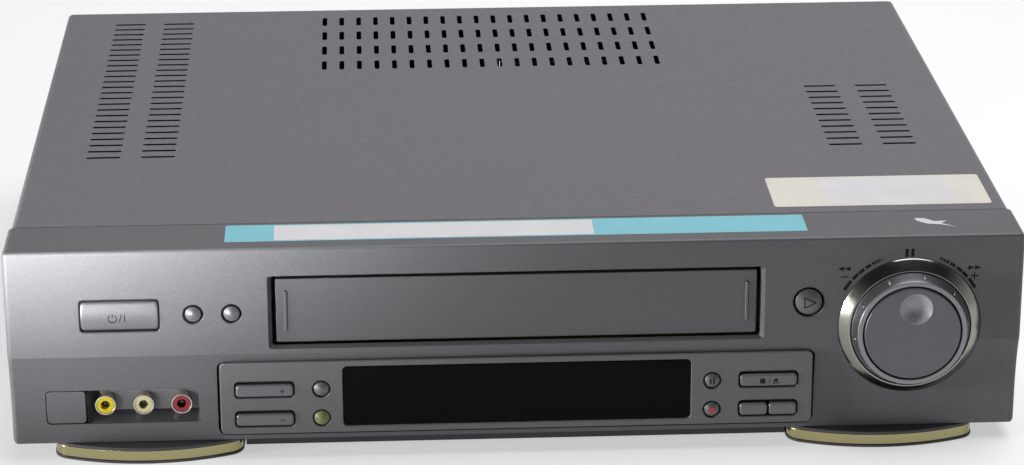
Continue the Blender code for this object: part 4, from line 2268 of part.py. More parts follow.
def make_capstan(finishes):
    """The capstan's shaft with its flywheel under the deck."""
    wheel_top = DECK_HEIGHT - FLYWHEEL_DROP
    wheel_bottom = wheel_top - FLYWHEEL_HEIGHT
    profile = [
        (0, CAPSTAN_TOP),
        (CAPSTAN_RADIUS, CAPSTAN_TOP),
        (CAPSTAN_RADIUS, wheel_top),
        (FLYWHEEL_RADIUS, wheel_top),
        (FLYWHEEL_RADIUS, wheel_bottom),
        (0, wheel_bottom),
    ]
    capstan = turned("capstan_shape", profile, (CAPSTAN_X, CAPSTAN_DEPTH, 0), FLAT, MEDIUM)
    return show(smooth(capstan), "capstan", finishes["steel"])


def make_capstan_motor(finishes):
    """The fixed coil plate under the flywheel, hung from the deck on posts."""
    plate_top = DECK_HEIGHT - FLYWHEEL_DROP - FLYWHEEL_HEIGHT - GAP
    plate_bottom = plate_top - MOTOR_PLATE_HEIGHT
    plate = rod(
        "motor_plate",
        (CAPSTAN_X, CAPSTAN_DEPTH, plate_bottom),
        MOTOR_PLATE_RADIUS,
        MOTOR_PLATE_HEIGHT,
        "Z",
        MEDIUM,
    )
    ring = MOTOR_PLATE_RADIUS - MOTOR_POST_RADIUS - OVERLAP
    for post in range(MOTOR_POSTS):
        angle = MOTOR_POST_TURN + post * 2 * math.pi / MOTOR_POSTS
        start = (
            CAPSTAN_X + ring * math.cos(angle),
            CAPSTAN_DEPTH + ring * math.sin(angle),
            plate_top - OVERLAP,
        )
        height = DECK_HEIGHT - GAP - plate_top + OVERLAP
        join(plate, rod("motor_post", start, MOTOR_POST_RADIUS, height, "Z"))
    return show(plate, "capstan_motor", finishes["board"])


def pinch_axis():
    """The pinch roller's axis at rest, as (across, depth)."""
    return (
        PINCH_PIVOT_X + PINCH_ARM_LENGTH * math.cos(PINCH_ARM_TURN),
        PINCH_PIVOT_DEPTH + PINCH_ARM_LENGTH * math.sin(PINCH_ARM_TURN),
    )


def make_pinch_arm(finishes):
    """A lever that turns on a post of the deck and carries the roller's axle."""
    reach = PINCH_ARM_WIDTH / 2
    outline = []
    for centre, start in ((0, math.pi / 2), (PINCH_ARM_LENGTH, -math.pi / 2)):
        for step in range(CURVE_STEPS + 1):
            angle = start + math.pi * step / CURVE_STEPS
            outline.append((centre + reach * math.cos(angle), reach * math.sin(angle)))
    arm = slab(
        "arm",
        outline,
        PINCH_ARM_THICKNESS,
        place(PINCH_PIVOT_X, PINCH_PIVOT_DEPTH, PINCH_ARM_HEIGHT + PINCH_ARM_THICKNESS / 2),
        (0, 0, PINCH_ARM_TURN),
    )
    across, depth = pinch_axis()
    arm_top = PINCH_ARM_HEIGHT + PINCH_ARM_THICKNESS
    axle = rod(
        "axle",
        (across, depth, arm_top - OVERLAP),
        PINCH_AXLE_RADIUS,
        PINCH_ROLLER_HEIGHT + 2 * GAP + OVERLAP,
        "Z",
    )
    hole = rod(
        "arm_hole",
        (PINCH_PIVOT_X, PINCH_PIVOT_DEPTH, PINCH_ARM_HEIGHT - OVERRUN),
        PINCH_PIVOT_RADIUS + GAP,
        PINCH_ARM_THICKNESS + 2 * OVERRUN,
        "Z",
    )
    join(arm, axle)
    cut(arm, hole)
    return show(arm, "pinch_arm", finishes["steel"])


def make_pinch_roller(finishes):
    across, depth = pinch_axis()
    bore = PINCH_AXLE_RADIUS + GAP
    profile = [
        (PINCH_ROLLER_RADIUS, PINCH_ROLLER_HEIGHT),
        (PINCH_ROLLER_RADIUS, 0),
        (bore, 0),
        (bore, PINCH_ROLLER_HEIGHT),
    ]
    bottom = PINCH_ARM_HEIGHT + PINCH_ARM_THICKNESS + GAP
    roller = turned("roller", profile, (across, depth, bottom), FLAT, MEDIUM)
    return show(smooth(roller), "pinch_roller", finishes["rubber"])


def make_loading_motor(finishes):
    """A small motor lying on a cradle, with the worm that drives the loading gears."""
    axis = SEAT + LOADING_RADIUS + GAP
    body = rod(
        "loading",
        (LOADING_X - LOADING_LENGTH / 2, LOADING_DEPTH, axis),
        LOADING_RADIUS,
        LOADING_LENGTH,
        "X",
        MEDIUM,
    )
    end = LOADING_X + LOADING_LENGTH / 2
    shaft = rod(
        "loading_shaft",
        (end - OVERLAP, LOADING_DEPTH, axis),
        LOADING_SHAFT_RADIUS,
        LOADING_WORM_LENGTH / 2,
        "X",
    )
    worm = rod(
        "worm",
        (end + LOADING_SHAFT_RADIUS, LOADING_DEPTH, axis),
        LOADING_WORM_RADIUS,
        LOADING_WORM_LENGTH,
        "X",
    )
    cradle = box(
        "cradle",
        (LOADING_X - LOADING_CRADLE_WIDTH / 2, LOADING_DEPTH - LOADING_RADIUS, SEAT),
        (LOADING_X + LOADING_CRADLE_WIDTH / 2, LOADING_DEPTH + LOADING_RADIUS, axis),
    )
    join(body, shaft, worm, cradle)
    return show(smooth(body), "loading_motor", finishes["dark_steel"])


def main():
    clear_scene()
    finishes = make_finishes()
    make_front_panel(finishes)
    make_cassette_door(finishes)
    make_control_panel(finishes)
    make_display_window(finishes)
    make_front_board(finishes)
    make_buttons(finishes)
    make_dial_bezel(finishes)
    make_shuttle_ring(finishes)
    make_jog_dial(finishes)
    make_jack_housing(finishes)
    make_blank_plate(finishes)
    make_front_jacks(finishes)
    make_feet(finishes)
    make_top_cover(finishes)
    make_screws(finishes)
    make_bottom_chassis(finishes)
    for name, height in scart_places():
        make_scart_socket(name, height, finishes)
    make_tuner(finishes)
    make_rear_phonos(finishes)
    make_mains_inlet(finishes)
    make_rear_panel(finishes)
    make_main_board(finishes)
    make_power_supply(finishes)
    make_deck_plate(finishes)
    for side, word in ((-1, "left"), (1, "right")):
        make_bracket("deck_bracket_" + word, side, finishes)
    make_carriage(finishes)
    make_cassette_holder(finishes)
    make_reel("supply_reel", -1, finishes)
    make_reel("takeup_reel", 1, finishes)
    make_lower_drum(finishes)
    make_upper_drum(finishes)
    make_tape_guide("supply_guide", -1, finishes)
    make_tape_guide("takeup_guide", 1, finishes)
    make_capstan(finishes)
    make_capstan_motor(finishes)
    make_pinch_arm(finishes)
    make_pinch_roller(finishes)
    make_loading_motor(finishes)


main()
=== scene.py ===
# %% [markdown]
# # A video cassette recorder
#
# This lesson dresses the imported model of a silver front-loading recorder. Its solids are the frame:
# every new piece sits where a solid sits and rides on the same body, so the buttons, the dial, the
# flap and the tape deck still move. Places are in millimetres as (across, depth, height): across
# from the middle, depth behind the flat upper face and height above the bezel's lower edge.

import json
import math

import bmesh
import bpy
from mathutils import Matrix, Vector

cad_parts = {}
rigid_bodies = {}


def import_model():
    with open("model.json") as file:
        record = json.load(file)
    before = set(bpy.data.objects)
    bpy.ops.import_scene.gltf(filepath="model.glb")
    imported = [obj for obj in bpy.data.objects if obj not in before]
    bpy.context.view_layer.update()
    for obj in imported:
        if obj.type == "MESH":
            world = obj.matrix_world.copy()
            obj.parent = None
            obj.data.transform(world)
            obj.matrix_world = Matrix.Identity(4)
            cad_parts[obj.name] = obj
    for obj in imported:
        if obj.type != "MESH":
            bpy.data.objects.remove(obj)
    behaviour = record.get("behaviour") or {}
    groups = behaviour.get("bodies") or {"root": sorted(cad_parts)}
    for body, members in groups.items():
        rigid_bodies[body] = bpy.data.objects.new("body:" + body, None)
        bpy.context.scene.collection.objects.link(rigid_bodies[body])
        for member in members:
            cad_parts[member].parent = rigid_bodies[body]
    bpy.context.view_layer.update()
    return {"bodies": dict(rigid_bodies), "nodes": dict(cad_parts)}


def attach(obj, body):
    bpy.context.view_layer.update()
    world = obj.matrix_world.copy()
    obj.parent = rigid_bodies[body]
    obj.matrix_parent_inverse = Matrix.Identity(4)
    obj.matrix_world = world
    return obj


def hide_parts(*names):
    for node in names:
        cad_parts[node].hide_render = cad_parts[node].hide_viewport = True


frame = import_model()
MM = 0.001
FACE_Y = -0.1615
BEZEL_Z = 0.007


def at(across, depth, height):
    """A place on the recorder, in millimetres, as a point in the frame."""
    return Vector((across * MM, FACE_Y + depth * MM, BEZEL_Z + height * MM))


# %% [markdown]
# ## Camera
#
# A product photographer stands back and uses a long lens, so the edges stay nearly parallel. The
# camera could be placed by eye, but here its place was worked out from the bezel's corners and the
# rows of vents, so that each piece lands on its own part of the picture.


# %% Camera
def into_scene(name, data):
    """A new object that shows some data, linked into the scene."""
    thing = bpy.data.objects.new(name, data)
    bpy.context.scene.collection.objects.link(thing)
    return thing


optics = bpy.data.cameras.new("camera")
optics.lens = 115.383
optics.sensor_width = 36
camera = into_scene("camera", optics)
camera.location = (-0.059617, -1.357449, 0.537362)
camera.rotation_euler = (1.2161920, 0.0027443, -0.0492098)
bpy.context.scene.camera = camera
print("camera", optics.lens, "mm")

# %% [markdown]
# ## Colours and nodes
#
# Colours are written as the hex values that a screen shows. Shaders count in linear light, so one
# function turns one into the other. Another adds a node with its settings and links, and may join
# it to the socket that it feeds. Every material below is a short list of such calls.


# %% Colour and node helpers
def linear(code):
    """A hex colour as linear red, green, blue and alpha."""
    parts = [int(code[i : i + 2], 16) / 255 for i in (1, 3, 5)]
    return (*[c / 12.92 if c <= 0.04045 else ((c + 0.055) / 1.055) ** 2.4 for c in parts], 1)


def add_node(tree, kind, inputs=None, feeds=None):
    """Adds a shader node. An input is a value, a socket, or a node for its first output."""
    made = tree.nodes.new("ShaderNode" + kind)
    for name, value in (inputs or {}).items():
        if isinstance(value, bpy.types.Node):
            value = value.outputs[0]
        if isinstance(value, bpy.types.NodeSocket):
            tree.links.new(value, made.inputs[name])
        elif isinstance(name, int) or name in made.inputs:
            made.inputs[name].default_value = value
        else:
            setattr(made, name, value)
    if feeds is not None:
        tree.links.new(made.outputs[0], feeds)
    return made


def new_finish(name, settings):
    """A material with its Principled shader set, its node tree and its object coordinates."""
    material = bpy.data.materials.new(name)
    material.use_nodes = True
    tree = material.node_tree
    shader = tree.nodes["Principled BSDF"]
    for socket, value in settings.items():
        shader.inputs[socket].default_value = value
    coords = add_node(tree, "TexCoord").outputs["Object"]
    print("finish", name)
    return material, tree, shader, coords


print("half grey is", round(linear("#808080")[0], 3), "in linear light")

# %% [markdown]
# ## Floor, world and lamps
#
# The recorder stands on pale paper. A gradient sky could light it alone, but paint looks flat under
# an even sky. So the sky is bright only in a band round the horizon, most of all behind the
# recorder. One wide soft lamp hangs above. A low one at the front left has a narrow beam, so the
# silver paint is brightest there and falls off to the right. The third, on the left, gives the
# dial's ring its highlight. In so little light the paper comes out grey. Half of the floor's look
# is therefore a plain white that only the camera, reflections and clear pieces see, and the other
# half is paper, which keeps the shadow.

# %% Floor
FLOOR_HALF = 30.0
FLOOR_WHITE = 0.5


def as_mesh(shape):
    """The mesh that a bmesh holds, which is then freed."""
    mesh = bpy.data.meshes.new("shape")
    shape.to_mesh(mesh)
    shape.free()
    return mesh


shape = bmesh.new()
bmesh.ops.create_grid(shape, x_segments=8, y_segments=8, size=FLOOR_HALF)
floor = into_scene("studio_floor", as_mesh(shape))

paper, tree, shader, coords = new_finish(
    "matt_paper_floor", {"Roughness": 0.9, "Specular IOR Level": 0.2}
)
mottle = add_node(tree, "TexNoise", {"Scale": 6.0, "Detail": 3.0, "Vector": coords})
tint = add_node(tree, "ValToRGB", {"Fac": mottle}, shader.inputs["Base Color"])
tint.color_ramp.elements[0].color = linear("#f4f4f4")
tint.color_ramp.elements[1].color = linear("#f8f8f8")
paths = add_node(tree, "LightPath").outputs
seen = paths["Is Camera Ray"]
for kind in ("Is Glossy Ray", "Is Transmission Ray"):
    seen = add_node(tree, "Math", {"operation": "MAXIMUM", 0: seen, 1: paths[kind]})
share = add_node(tree, "Math", {"operation": "MULTIPLY", 0: seen, 1: FLOOR_WHITE})
white = add_node(tree, "Emission")
surface = tree.nodes["Material Output"].inputs["Surface"]
add_node(tree, "MixShader", {"Fac": share, 1: shader, 2: white}, surface)
floor.data.materials.append(paper)

# %% World
world = bpy.data.worlds.new("studio")
world.use_nodes = True
bpy.context.scene.world = world
tree = world.node_tree
background = tree.nodes["Background"].inputs
direction = add_node(tree, "TexCoord").outputs["Generated"]
split = add_node(tree, "SeparateXYZ", {"Vector": direction}).outputs
sky = add_node(tree, "ValToRGB", {"Fac": split["Z"]}, background["Color"])
for element, position, code in zip(sky.color_ramp.elements, (0.12, 0.6), ("#f2f2f2", "#6a6a70")):
    element.position = position
    element.color = linear(code)
add_node(
    tree,
    "MapRange",
    {"From Min": -0.3, "From Max": 0.4, "To Min": 0.25, "To Max": 1.5, "Value": split["Y"]},
    background["Strength"],
)
print("world", world.name)


# %% Lamps
def soft_lamp(name, place, target, size, power, spread):
    """A rectangular lamp that faces a target, its beam kept within an angle in degrees."""
    data = bpy.data.lights.new(name, "AREA")
    data.shape = "RECTANGLE"
    data.size, data.size_y = size
    data.energy = power
    data.spread = math.radians(spread)
    lamp = into_scene(name, data)
    lamp.location = place
    lamp.rotation_euler = (Vector(target) - Vector(place)).to_track_quat("-Z", "Y").to_euler()
    print("lamp", name, power, "W")


soft_lamp("overhead", (0.35, 0.15, 1.6), (0.1, 0.1, 0), (1.4, 1.2), 13, 120)
soft_lamp("window", (-0.36, -0.5, 0.09), (-0.185, -0.16, 0.19), (0.12, 0.08), 1.28, 47)
soft_lamp("side_strip", (-0.9, -0.38, 0.11), (0.1, -0.16, 0.05), (0.14, 0.18), 0.46, 36)

# %% [markdown]
# ## Paints
#
# The bezel is moulded ABS, sprayed with a lacquer that holds fine aluminium flakes. Each flake lies
# at its own tilt, so the coat sparkles close up and sweeps from light to dark across a wide face. A
# plain grey would lose that sweep. Here the shader is a little more than half metal with a broad
# gloss, and cells stand for the flakes, each a little lighter or darker at random. The brightest
# tenth of the cells is painted lighter still, a painted glint for flakes that catch the light. Real
# flakes are about 0.05 mm, too fine to show, so they are drawn 0.4 mm wide. The cover is sheet
# steel with a darker powder coat, hardly metal at all, whose grain is drawn 1.1 mm wide.


# %% Metallic and powder paints
def wear(tree, shader, gloss, roughness, spread, height, strength, depth):
    """Lets one pattern drive the roughness within a spread, and another a relief in millimetres."""
    low, high = max(roughness - spread, 0.02), roughness + spread
    limits = {"To Min": low, "To Max": high, "Value": gloss}
    add_node(tree, "MapRange", limits, shader.inputs["Roughness"])
    if depth:
        relief = {"Strength": strength, "Distance": depth * MM, "Height": height}
        add_node(tree, "Bump", relief, shader.inputs["Normal"])


def flake_paint(name, dark, light, metallic, roughness, flake=0.4, painted_glint_gain=1.0):
    """Lacquer with metal flakes, each cell a little lighter or darker, the brightest with a painted
    glint, and a faint orange peel.
    """
    material, tree, shader, coords = new_finish(name, {"Metallic": metallic})
    cells = add_node(tree, "TexVoronoi", {"Scale": 1 / (flake * MM), "Vector": coords})
    grey = add_node(tree, "SeparateColor", {"Color": cells.outputs["Color"]}).outputs
    clouds, peel = [
        add_node(tree, "TexNoise", {"Scale": 1 / (size * MM), "Detail": detail, "Vector": coords})
        for size, detail in ((38, 2.0), (0.9, 1.0))
    ]
    blend = add_node(tree, "Mix", {"Factor": 0.35, "A": grey["Red"], "B": clouds})
    ramp = add_node(tree, "ValToRGB", {"Fac": blend})
    ramp.color_ramp.elements[0].color = linear(dark)
    ramp.color_ramp.elements[1].color = linear(light)
    # Painted glint: the brightest tenth of the cells has its colour scaled up, for flakes that catch
    # the light.
    limits = {"From Min": 0.9, "From Max": 1.0, "To Min": 1.0, "To Max": painted_glint_gain}
    painted_glint = add_node(tree, "MapRange", {**limits, "Value": grey["Blue"]})
    bright = {"operation": "SCALE", "Vector": ramp, "Scale": painted_glint}
    add_node(tree, "VectorMath", bright, shader.inputs["Base Color"])
    wear(tree, shader, grey["Green"], roughness, 0.05, peel, 0.3, 0.02)
    return material


FLAKE_PAINTS = {
    "bezel_paint": ("silver_flake_lacquer", "#58585b", "#646467", 0.55, 0.56, 0.4, 1.14),
    "panel_paint": ("panel_flake_lacquer", "#5d5d5f", "#68686a", 0.62, 0.48, 0.4, 1.12),
    "button_paint": ("button_lacquer", "#616164", "#6c6c6f", 0.6, 0.42),
    "door_paint": ("door_satin_lacquer", "#58585b", "#606063", 0.6, 0.48, 0.4, 1.12),
    "cover_paint": ("powder_coated_steel", "#565459", "#5c5a5f", 0.1, 0.5, 1.1, 1.15),
    "dial_metal": ("dial_satin_lacquer", "#5e5f62", "#656669", 0.8, 0.4, 0.3, 1.2),
    "shuttle_metal": ("shuttle_satin_lacquer", "#7e7f81", "#88898b", 0.8, 0.34, 0.3, 1.2),
    # Painted sheen: the dimple takes a lighter, less metallic copy of the dial's lacquer.
    "dimple_sheen": ("dimple_painted_sheen_lacquer", "#8f9093", "#98999c", 0.25, 0.34, 0.3),
}
FINISH = {key: flake_paint(*facts) for key, facts in FLAKE_PAINTS.items()}

# %% [markdown]
# ## Metals
#
# The ring round the dial is plated plastic, a soft mirror in a warm grey. The dial, its dimple and
# the shuttle ring are satin lacquers over plastic, so the paint above makes them, with flakes 0.3
# mm wide. The dimple's copy of the lacquer is lighter and less metallic, a painted sheen that makes
# the bowl look brighter than the disc. The bands on the feet are anodised aluminium foil in a pale
# gold, brushed lengthwise.
# Brushing shows as streaks of gloss, so a noise that is stretched along the band drives the
# roughness. The chassis tray has a dark coat. The walls inside the cover's slots take a near-black
# metal, painted shade for the shadow inside the slots.


# %% Metals
def plain_metal(name, code, roughness, spread, grain, stretch=(1, 1, 1), bump=0.0):
    """Metal whose gloss wanders a little. The stretch draws the pattern out along one side."""
    material, tree, shader, coords = new_finish(name, {"Metallic": 1.0, "Base Color": linear(code)})
    placed = add_node(tree, "Mapping", {"Scale": stretch, "Vector": coords})
    noise = add_node(tree, "TexNoise", {"Scale": 1 / (grain * MM), "Detail": 4.0, "Vector": placed})
    wear(tree, shader, noise, roughness, spread, noise, 0.4, bump)
    return material


METALS = {
    "bright_plating": ("nickel_plating", "#909089", 0.15, 0.05, 2.0),
    "gold_band": ("champagne_anodised_aluminium", "#a8a278", 0.24, 0.06, 3.0, (0.06, 1, 1)),
    "nickel_shell": ("nickel_shell", "#cbc8b8", 0.25, 0.05, 1.5),
    "zinc_steel": ("zinc_plated_steel", "#a9acb0", 0.36, 0.1, 9.0, (1, 1, 1), 0.01),
    "tray_steel": ("dark_coated_steel", "#464649", 0.5, 0.08, 5.0),
    "dark_steel": ("blackened_steel", "#2c2c2f", 0.45, 0.08, 5.0, (1, 1, 1), 0.01),
    # Painted shade: near-black metal for the shadowed walls inside the cover's slots.
    "slot_wall_shade": ("slot_wall_painted_shade", "#1e1d20", 0.6, 0.05, 1.0),
    "drum_aluminium": ("turned_aluminium", "#c6c7c9", 0.18, 0.06, 1.2, (1, 1, 0.2)),
}
FINISH.update({key: plain_metal(*facts) for key, facts in METALS.items()})

# %% [markdown]
# ## Plastics, board and paper
#
# The sockets, the feet and the tape deck's small parts are moulded plastic. A mould leaves a fine
# texture, drawn here as a low bump at 0.6 mm, and worn gloss. The window is smoked acrylic, nearly
# black and very smooth. Its reflections are kept weak, so that it stays black over a pale floor.
# Stickers are coated paper.


# %% Plastics
def moulded_plastic(name, code, roughness, grain=0.6, bump=0.02, extra=None):
    """Plastic with a mould's texture and a colour that wanders by a few percent."""
    material, tree, shader, coords = new_finish(name, {"IOR": 1.53, **(extra or {})})
    fine, broad = [
        add_node(tree, "TexNoise", {"Scale": 1 / (size * MM), "Detail": 2.0, "Vector": coords})
        for size in (grain, 14)
    ]
    colour = Vector(linear(code)[:3])
    ramp = add_node(tree, "ValToRGB", {"Fac": broad}, shader.inputs["Base Color"])
    ramp.color_ramp.elements[0].color = (*(colour * 0.9), 1)
    ramp.color_ramp.elements[1].color = (*(colour * 1.1), 1)
    wear(tree, shader, broad, roughness, 0.06, fine, 0.4, bump)
    return material


CLEAR = {"IOR": 1.49, "Specular IOR Level": 0.06}
PLASTICS = {
    "black_plastic": ("black_abs", "#1b1b1d", 0.48),
    "grey_plastic": ("grey_abs", "#67676b", 0.46),
    "foot_plastic": ("foot_abs", "#3c3b3f", 0.36),
    "yellow_plastic": ("yellow_polypropylene", "#bda813", 0.3),
    "white_plastic": ("ivory_polypropylene", "#b3ae86", 0.3),
    "red_plastic": ("red_polypropylene", "#7c1528", 0.3),
    "cream_plastic": ("cream_acetal", "#cfc8b2", 0.4),
    "green_plastic": ("green_acrylic", "#666b45", 0.4),
    "rubber": ("black_rubber", "#161616", 0.8, 0.4, 0.03),
    "red_print": ("red_ink", "#b3283a", 0.5),
    "dark_print": ("dark_ink", "#101012", 0.7, 0.6, 0.02, {"Specular IOR Level": 0.2}),
    "smoked_acrylic": ("smoked_acrylic", "#050506", 0.12, 8.0, 0.002, CLEAR),
    "label_paper": ("coated_paper_white", "#c9c7c9", 0.55, 0.8),
    "aged_paper": ("aged_paper", "#cdc7be", 0.6, 0.8),
    "cyan_paper": ("coated_paper_cyan", "#6fb3c0", 0.5, 0.8),
}
FINISH.update({key: moulded_plastic(*facts) for key, facts in PLASTICS.items()})

# %% Board
board, tree, shader, coords = new_finish("phenolic_board", {"Roughness": 0.5})
tracks = {
    "Scale": 1 / (9 * MM),
    "Color1": linear("#6b5428"),
    "Color2": linear("#7a6231"),
    "Mortar": linear("#49401f"),
    "Mortar Size": 0.06,
    "Vector": coords,
}
add_node(tree, "TexBrick", tracks, shader.inputs["Base Color"])
FINISH["circuit_board"] = board

# %% [markdown]
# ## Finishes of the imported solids
#
# Most solids behind the front have the right shape and only need a finish. The materials above are
# kept under the record's slot names, and each node takes the material of its slot.

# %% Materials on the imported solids
for node in frame["nodes"].values():
    for index, packed in enumerate(node.data.materials):
        node.data.materials[index] = FINISH[packed.name]
print("finishes", len(FINISH))

# %% [markdown]
# ## Making solids
#
# Nearly every piece here is an outline carried along a path: a rounded rectangle that rises and
# shrinks into a cap, a side view drawn out into a bezel, or a half profile turned round an axis.
# One function joins a row of equal rings with faces. Another fills a flat outline with holes, by
# way of a 2D curve, whose bevel also rounds every edge.


# %% Outlines
def arc(centre, radii, first, last, steps):
    """Points of an ellipse's arc round a centre, its angles in degrees."""
    turns = [math.radians(first + (last - first) * i / steps) for i in range(steps + 1)]
    return [(centre[0] + radii[0] * math.cos(t), centre[1] + radii[1] * math.sin(t)) for t in turns]


def circle(across, height, radius, steps=48):
    """A circle's (across, height) points."""
    return arc((across, height), (radius, radius), 0, 360, steps)[:-1]


def rounded(across, height, width, tall, radius, steps=6):
    """A rounded rectangle's (across, height) points round a centre."""
    points = []
    for turn, (u, v) in enumerate(((1, 1), (-1, 1), (-1, -1), (1, -1))):
        corner = (across + u * (width / 2 - radius), height + v * (tall / 2 - radius))
        points += arc(corner, (radius, radius), 90 * turn, 90 * turn + 90, steps)
    return points


def drawn_in(half, corner, steps):
    """Places from a piece's left end to its right one, each with its edge's share of a corner."""
    places = []
    for side in (-1, 1):
        for step in range(steps + 1):
            angle = math.pi / 2 * step / steps
            places.append((side * (half - corner * (1 - math.cos(angle))), 1 - math.sin(angle)))
    return sorted(places)


# %% Joined rings
OPEN = (False, False)
END_CLOSED = (False, True)


def ring_mesh(rings, caps=(True, True)):
    """A mesh that joins rings with equal counts of points, closed at its ends on request."""
    shape = bmesh.new()
    loops = [[shape.verts.new(point) for point in ring] for ring in rings]
    for first, second in zip(loops, loops[1:]):
        for i, vertex in enumerate(first):
            j = (i + 1) % len(first)
            shape.faces.new((vertex, first[j], second[j], second[i]))
    for closed, loop in zip(caps, (loops[0], loops[-1])):
        if closed:
            shape.faces.new(loop)
    bmesh.ops.recalc_face_normals(shape, faces=shape.faces)
    return as_mesh(shape)


def upright_stack(layers, caps=(True, True)):
    """Upright outlines at growing depths, joined. A layer is an outline and its depth."""
    return ring_mesh([[at(u, depth, v) for u, v in line] for line, depth in layers], caps)


# %% Filled outlines
def evaluated(thing):
    """The mesh of an object once its curve is filled or its modifiers are applied."""
    bpy.context.view_layer.update()
    graph = bpy.context.evaluated_depsgraph_get()
    return bpy.data.meshes.new_from_object(thing.evaluated_get(graph))


def filled(outlines, thickness, place, bevel):
    """Flat outlines with holes, filled, thickened, rounded at their edges and put in place."""
    curve = bpy.data.curves.new("outline", "CURVE")
    curve.dimensions = "2D"
    curve.fill_mode = "BOTH"
    curve.extrude = (thickness / 2 - bevel) * MM
    curve.bevel_depth = bevel * MM
    curve.bevel_resolution = 2
    curve.offset = -bevel * MM
    for outline in outlines:
        spline = curve.splines.new("POLY")
        spline.points.add(len(outline) - 1)
        for point, (u, v) in zip(spline.points, outline):
            point.co = (u * MM, v * MM, 0, 1)
        spline.use_cyclic_u = True
    holder = into_scene("outline", curve)
    mesh = evaluated(holder)
    bpy.data.objects.remove(holder)
    mesh.transform(place)
    mesh.materials.clear()
    return mesh


def upright_plate(outlines, front, thickness, bevel=0.0):
    """Filled (across, height) outlines that stand upright with their front at a depth."""
    middle = Matrix.Translation(at(0, front + thickness / 2, 0))
    return filled(outlines, thickness, middle @ Matrix.Rotation(math.pi / 2, 4, "X"), bevel)


# %% Pieces
def piece(name, mesh, slot=None, node=None, body="case", finish=None, sharp=35):
    """Shows a mesh as a piece in the finish of a record slot, or in a finish given apart. One that
    stands for a moving node rides on it.
    """
    if node in frame["bodies"]:
        body = node
    mesh.name = name
    mesh.materials.append(FINISH[finish or slot])
    mesh.shade_smooth()
    mesh.set_sharp_from_angle(angle=math.radians(sharp))
    thing = into_scene(name, mesh)
    thing.modifiers.new("even_shading", "WEIGHTED_NORMAL").keep_sharp = True
    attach(thing, body)
    if node:
        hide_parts(node)
    print(name, "on", body, "faces", len(mesh.polygons))
    return thing


# %% [markdown]
# ## Bezel
#
# The front is one moulding: a flat upper face, a hollowed lower face, a rounded top edge and ends
# that turn in by 2 mm. It could be a block with bevels, but the hollow has its own curve, so its
# side view is drawn out across the width, in rings that shrink at both ends. Booleans cut the
# openings. Round the buttons the cutters flare at the face, which leaves a small lip that catches
# the light, and round the flap the opening slopes inwards for 3 mm.

# %% Bezel shell
HALF_WIDTH = 200
CREASE = 38.3
SETBACK = 4.5
TOP = 82.4
WALL = 2.5


def lower_depth(height):
    """How far the hollowed lower front lies behind the upper face."""
    share = min(height / CREASE, 1)
    return SETBACK * (1 - share**3.5)


def bezel_section(inset, back):
    """The bezel's side view as (depth, height) points, moved in by a wall."""
    points = [(back, inset)]
    for step in range(25):
        height = inset + (CREASE - inset) * step / 24
        points.append((lower_depth(height) + inset, height))
    points += arc((inset + 1.2, TOP - inset - 1.3), (1.2, 1.3), 180, 90, 8)
    return points + [(back, TOP - inset)]


rings = []
for across, share in drawn_in(HALF_WIDTH, 2, 6):
    rings.append([at(across, *point) for point in bezel_section(2 * share, 28.5)])
bezel_mesh = ring_mesh(rings)
print("bezel rings", len(rings))

# %% Bezel openings
BUTTON_ROW = 55.4
DIAL = (155.3, 44.6)
LIP = 0.4
CUT_DEPTH = 12


def flared(make):
    """A cutter whose outline opens at 45 degrees by a lip where it meets the face."""
    return upright_stack([(make(LIP + 1), -1), (make(0), LIP), (make(0), CUT_DEPTH)])


def straight(outline):
    """A cutter with straight sides."""
    return upright_stack([(outline, -1), (outline, CUT_DEPTH)])


reach = HALF_WIDTH - WALL
flap_frame = rounded(0, 55.45, 191.8, 28.5, 0.9)
cutters = [
    ring_mesh([[at(x, *point) for point in bezel_section(WALL, 33)] for x in (-reach, reach)]),
    upright_stack(
        [(rounded(0, 55.45, 196.6, 31.5, 1.5), -1), (flap_frame, 3), (flap_frame, CUT_DEPTH)]
    ),
    flared(lambda g: rounded(-155.5, BUTTON_ROW, 31.2 + 2 * g, 13.4 + 2 * g, 1.6 + g)),
    flared(lambda g: circle(-126.8, BUTTON_ROW, 3.9 + g)),
    flared(lambda g: circle(-111.8, BUTTON_ROW, 3.9 + g)),
    flared(lambda g: circle(115.1, BUTTON_ROW, 6.1 + g)),
    straight(rounded(0, 18.2, 237.2, 32.6, 3.2, 10)),
    straight(rounded(-155.9, 15.3, 61.0, 14.7, 1.9, 8)),
    straight(circle(*DIAL, 28.5, 96)),
]
print("cutters", len(cutters))

# %% Cut the openings
bezel = piece("bezel", bezel_mesh, "bezel_paint", "front_panel")
tools = [into_scene("cutter", mesh) for mesh in cutters]
for tool in tools:
    cut = bezel.modifiers.new("opening", "BOOLEAN")
    cut.operation = "DIFFERENCE"
    cut.solver = "EXACT"
    cut.object = tool
bezel.modifiers.move(0, len(cutters))
cut_mesh = evaluated(bezel)
bezel.modifiers.clear()
bezel.data = cut_mesh
cut_mesh.set_sharp_from_angle(angle=math.radians(30))
bezel.modifiers.new("even_shading", "WEIGHTED_NORMAL").keep_sharp = True
for tool in tools:
    bpy.data.objects.remove(tool)
print("bezel faces after the cuts", len(cut_mesh.polygons))

# %% [markdown]
# ## Seat, ring and dial
#
# The bright ring is a cone on a short drum that bridges the hollow. The shuttle ring is a steeper
# cone with small grips, and the jog dial lies in it. Its outer cone takes the darker dial lacquer
# and its top a lighter one: the darker outside is painted shade, for the ring's shadow on the cone.
# All are turned from profiles. The dial's finger dimple could be pressed into a disc, but its rim
# stays sharper as a turned bowl in a round hole of the face.


# %% Seat and ring
def turned(across, height, profile, steps=64, caps=(True, True)):
    """A (radius, depth) profile turned round an axis that points to the front."""
    layers = [(circle(across, height, radius, steps), depth) for radius, depth in profile]
    return upright_stack(layers, caps)


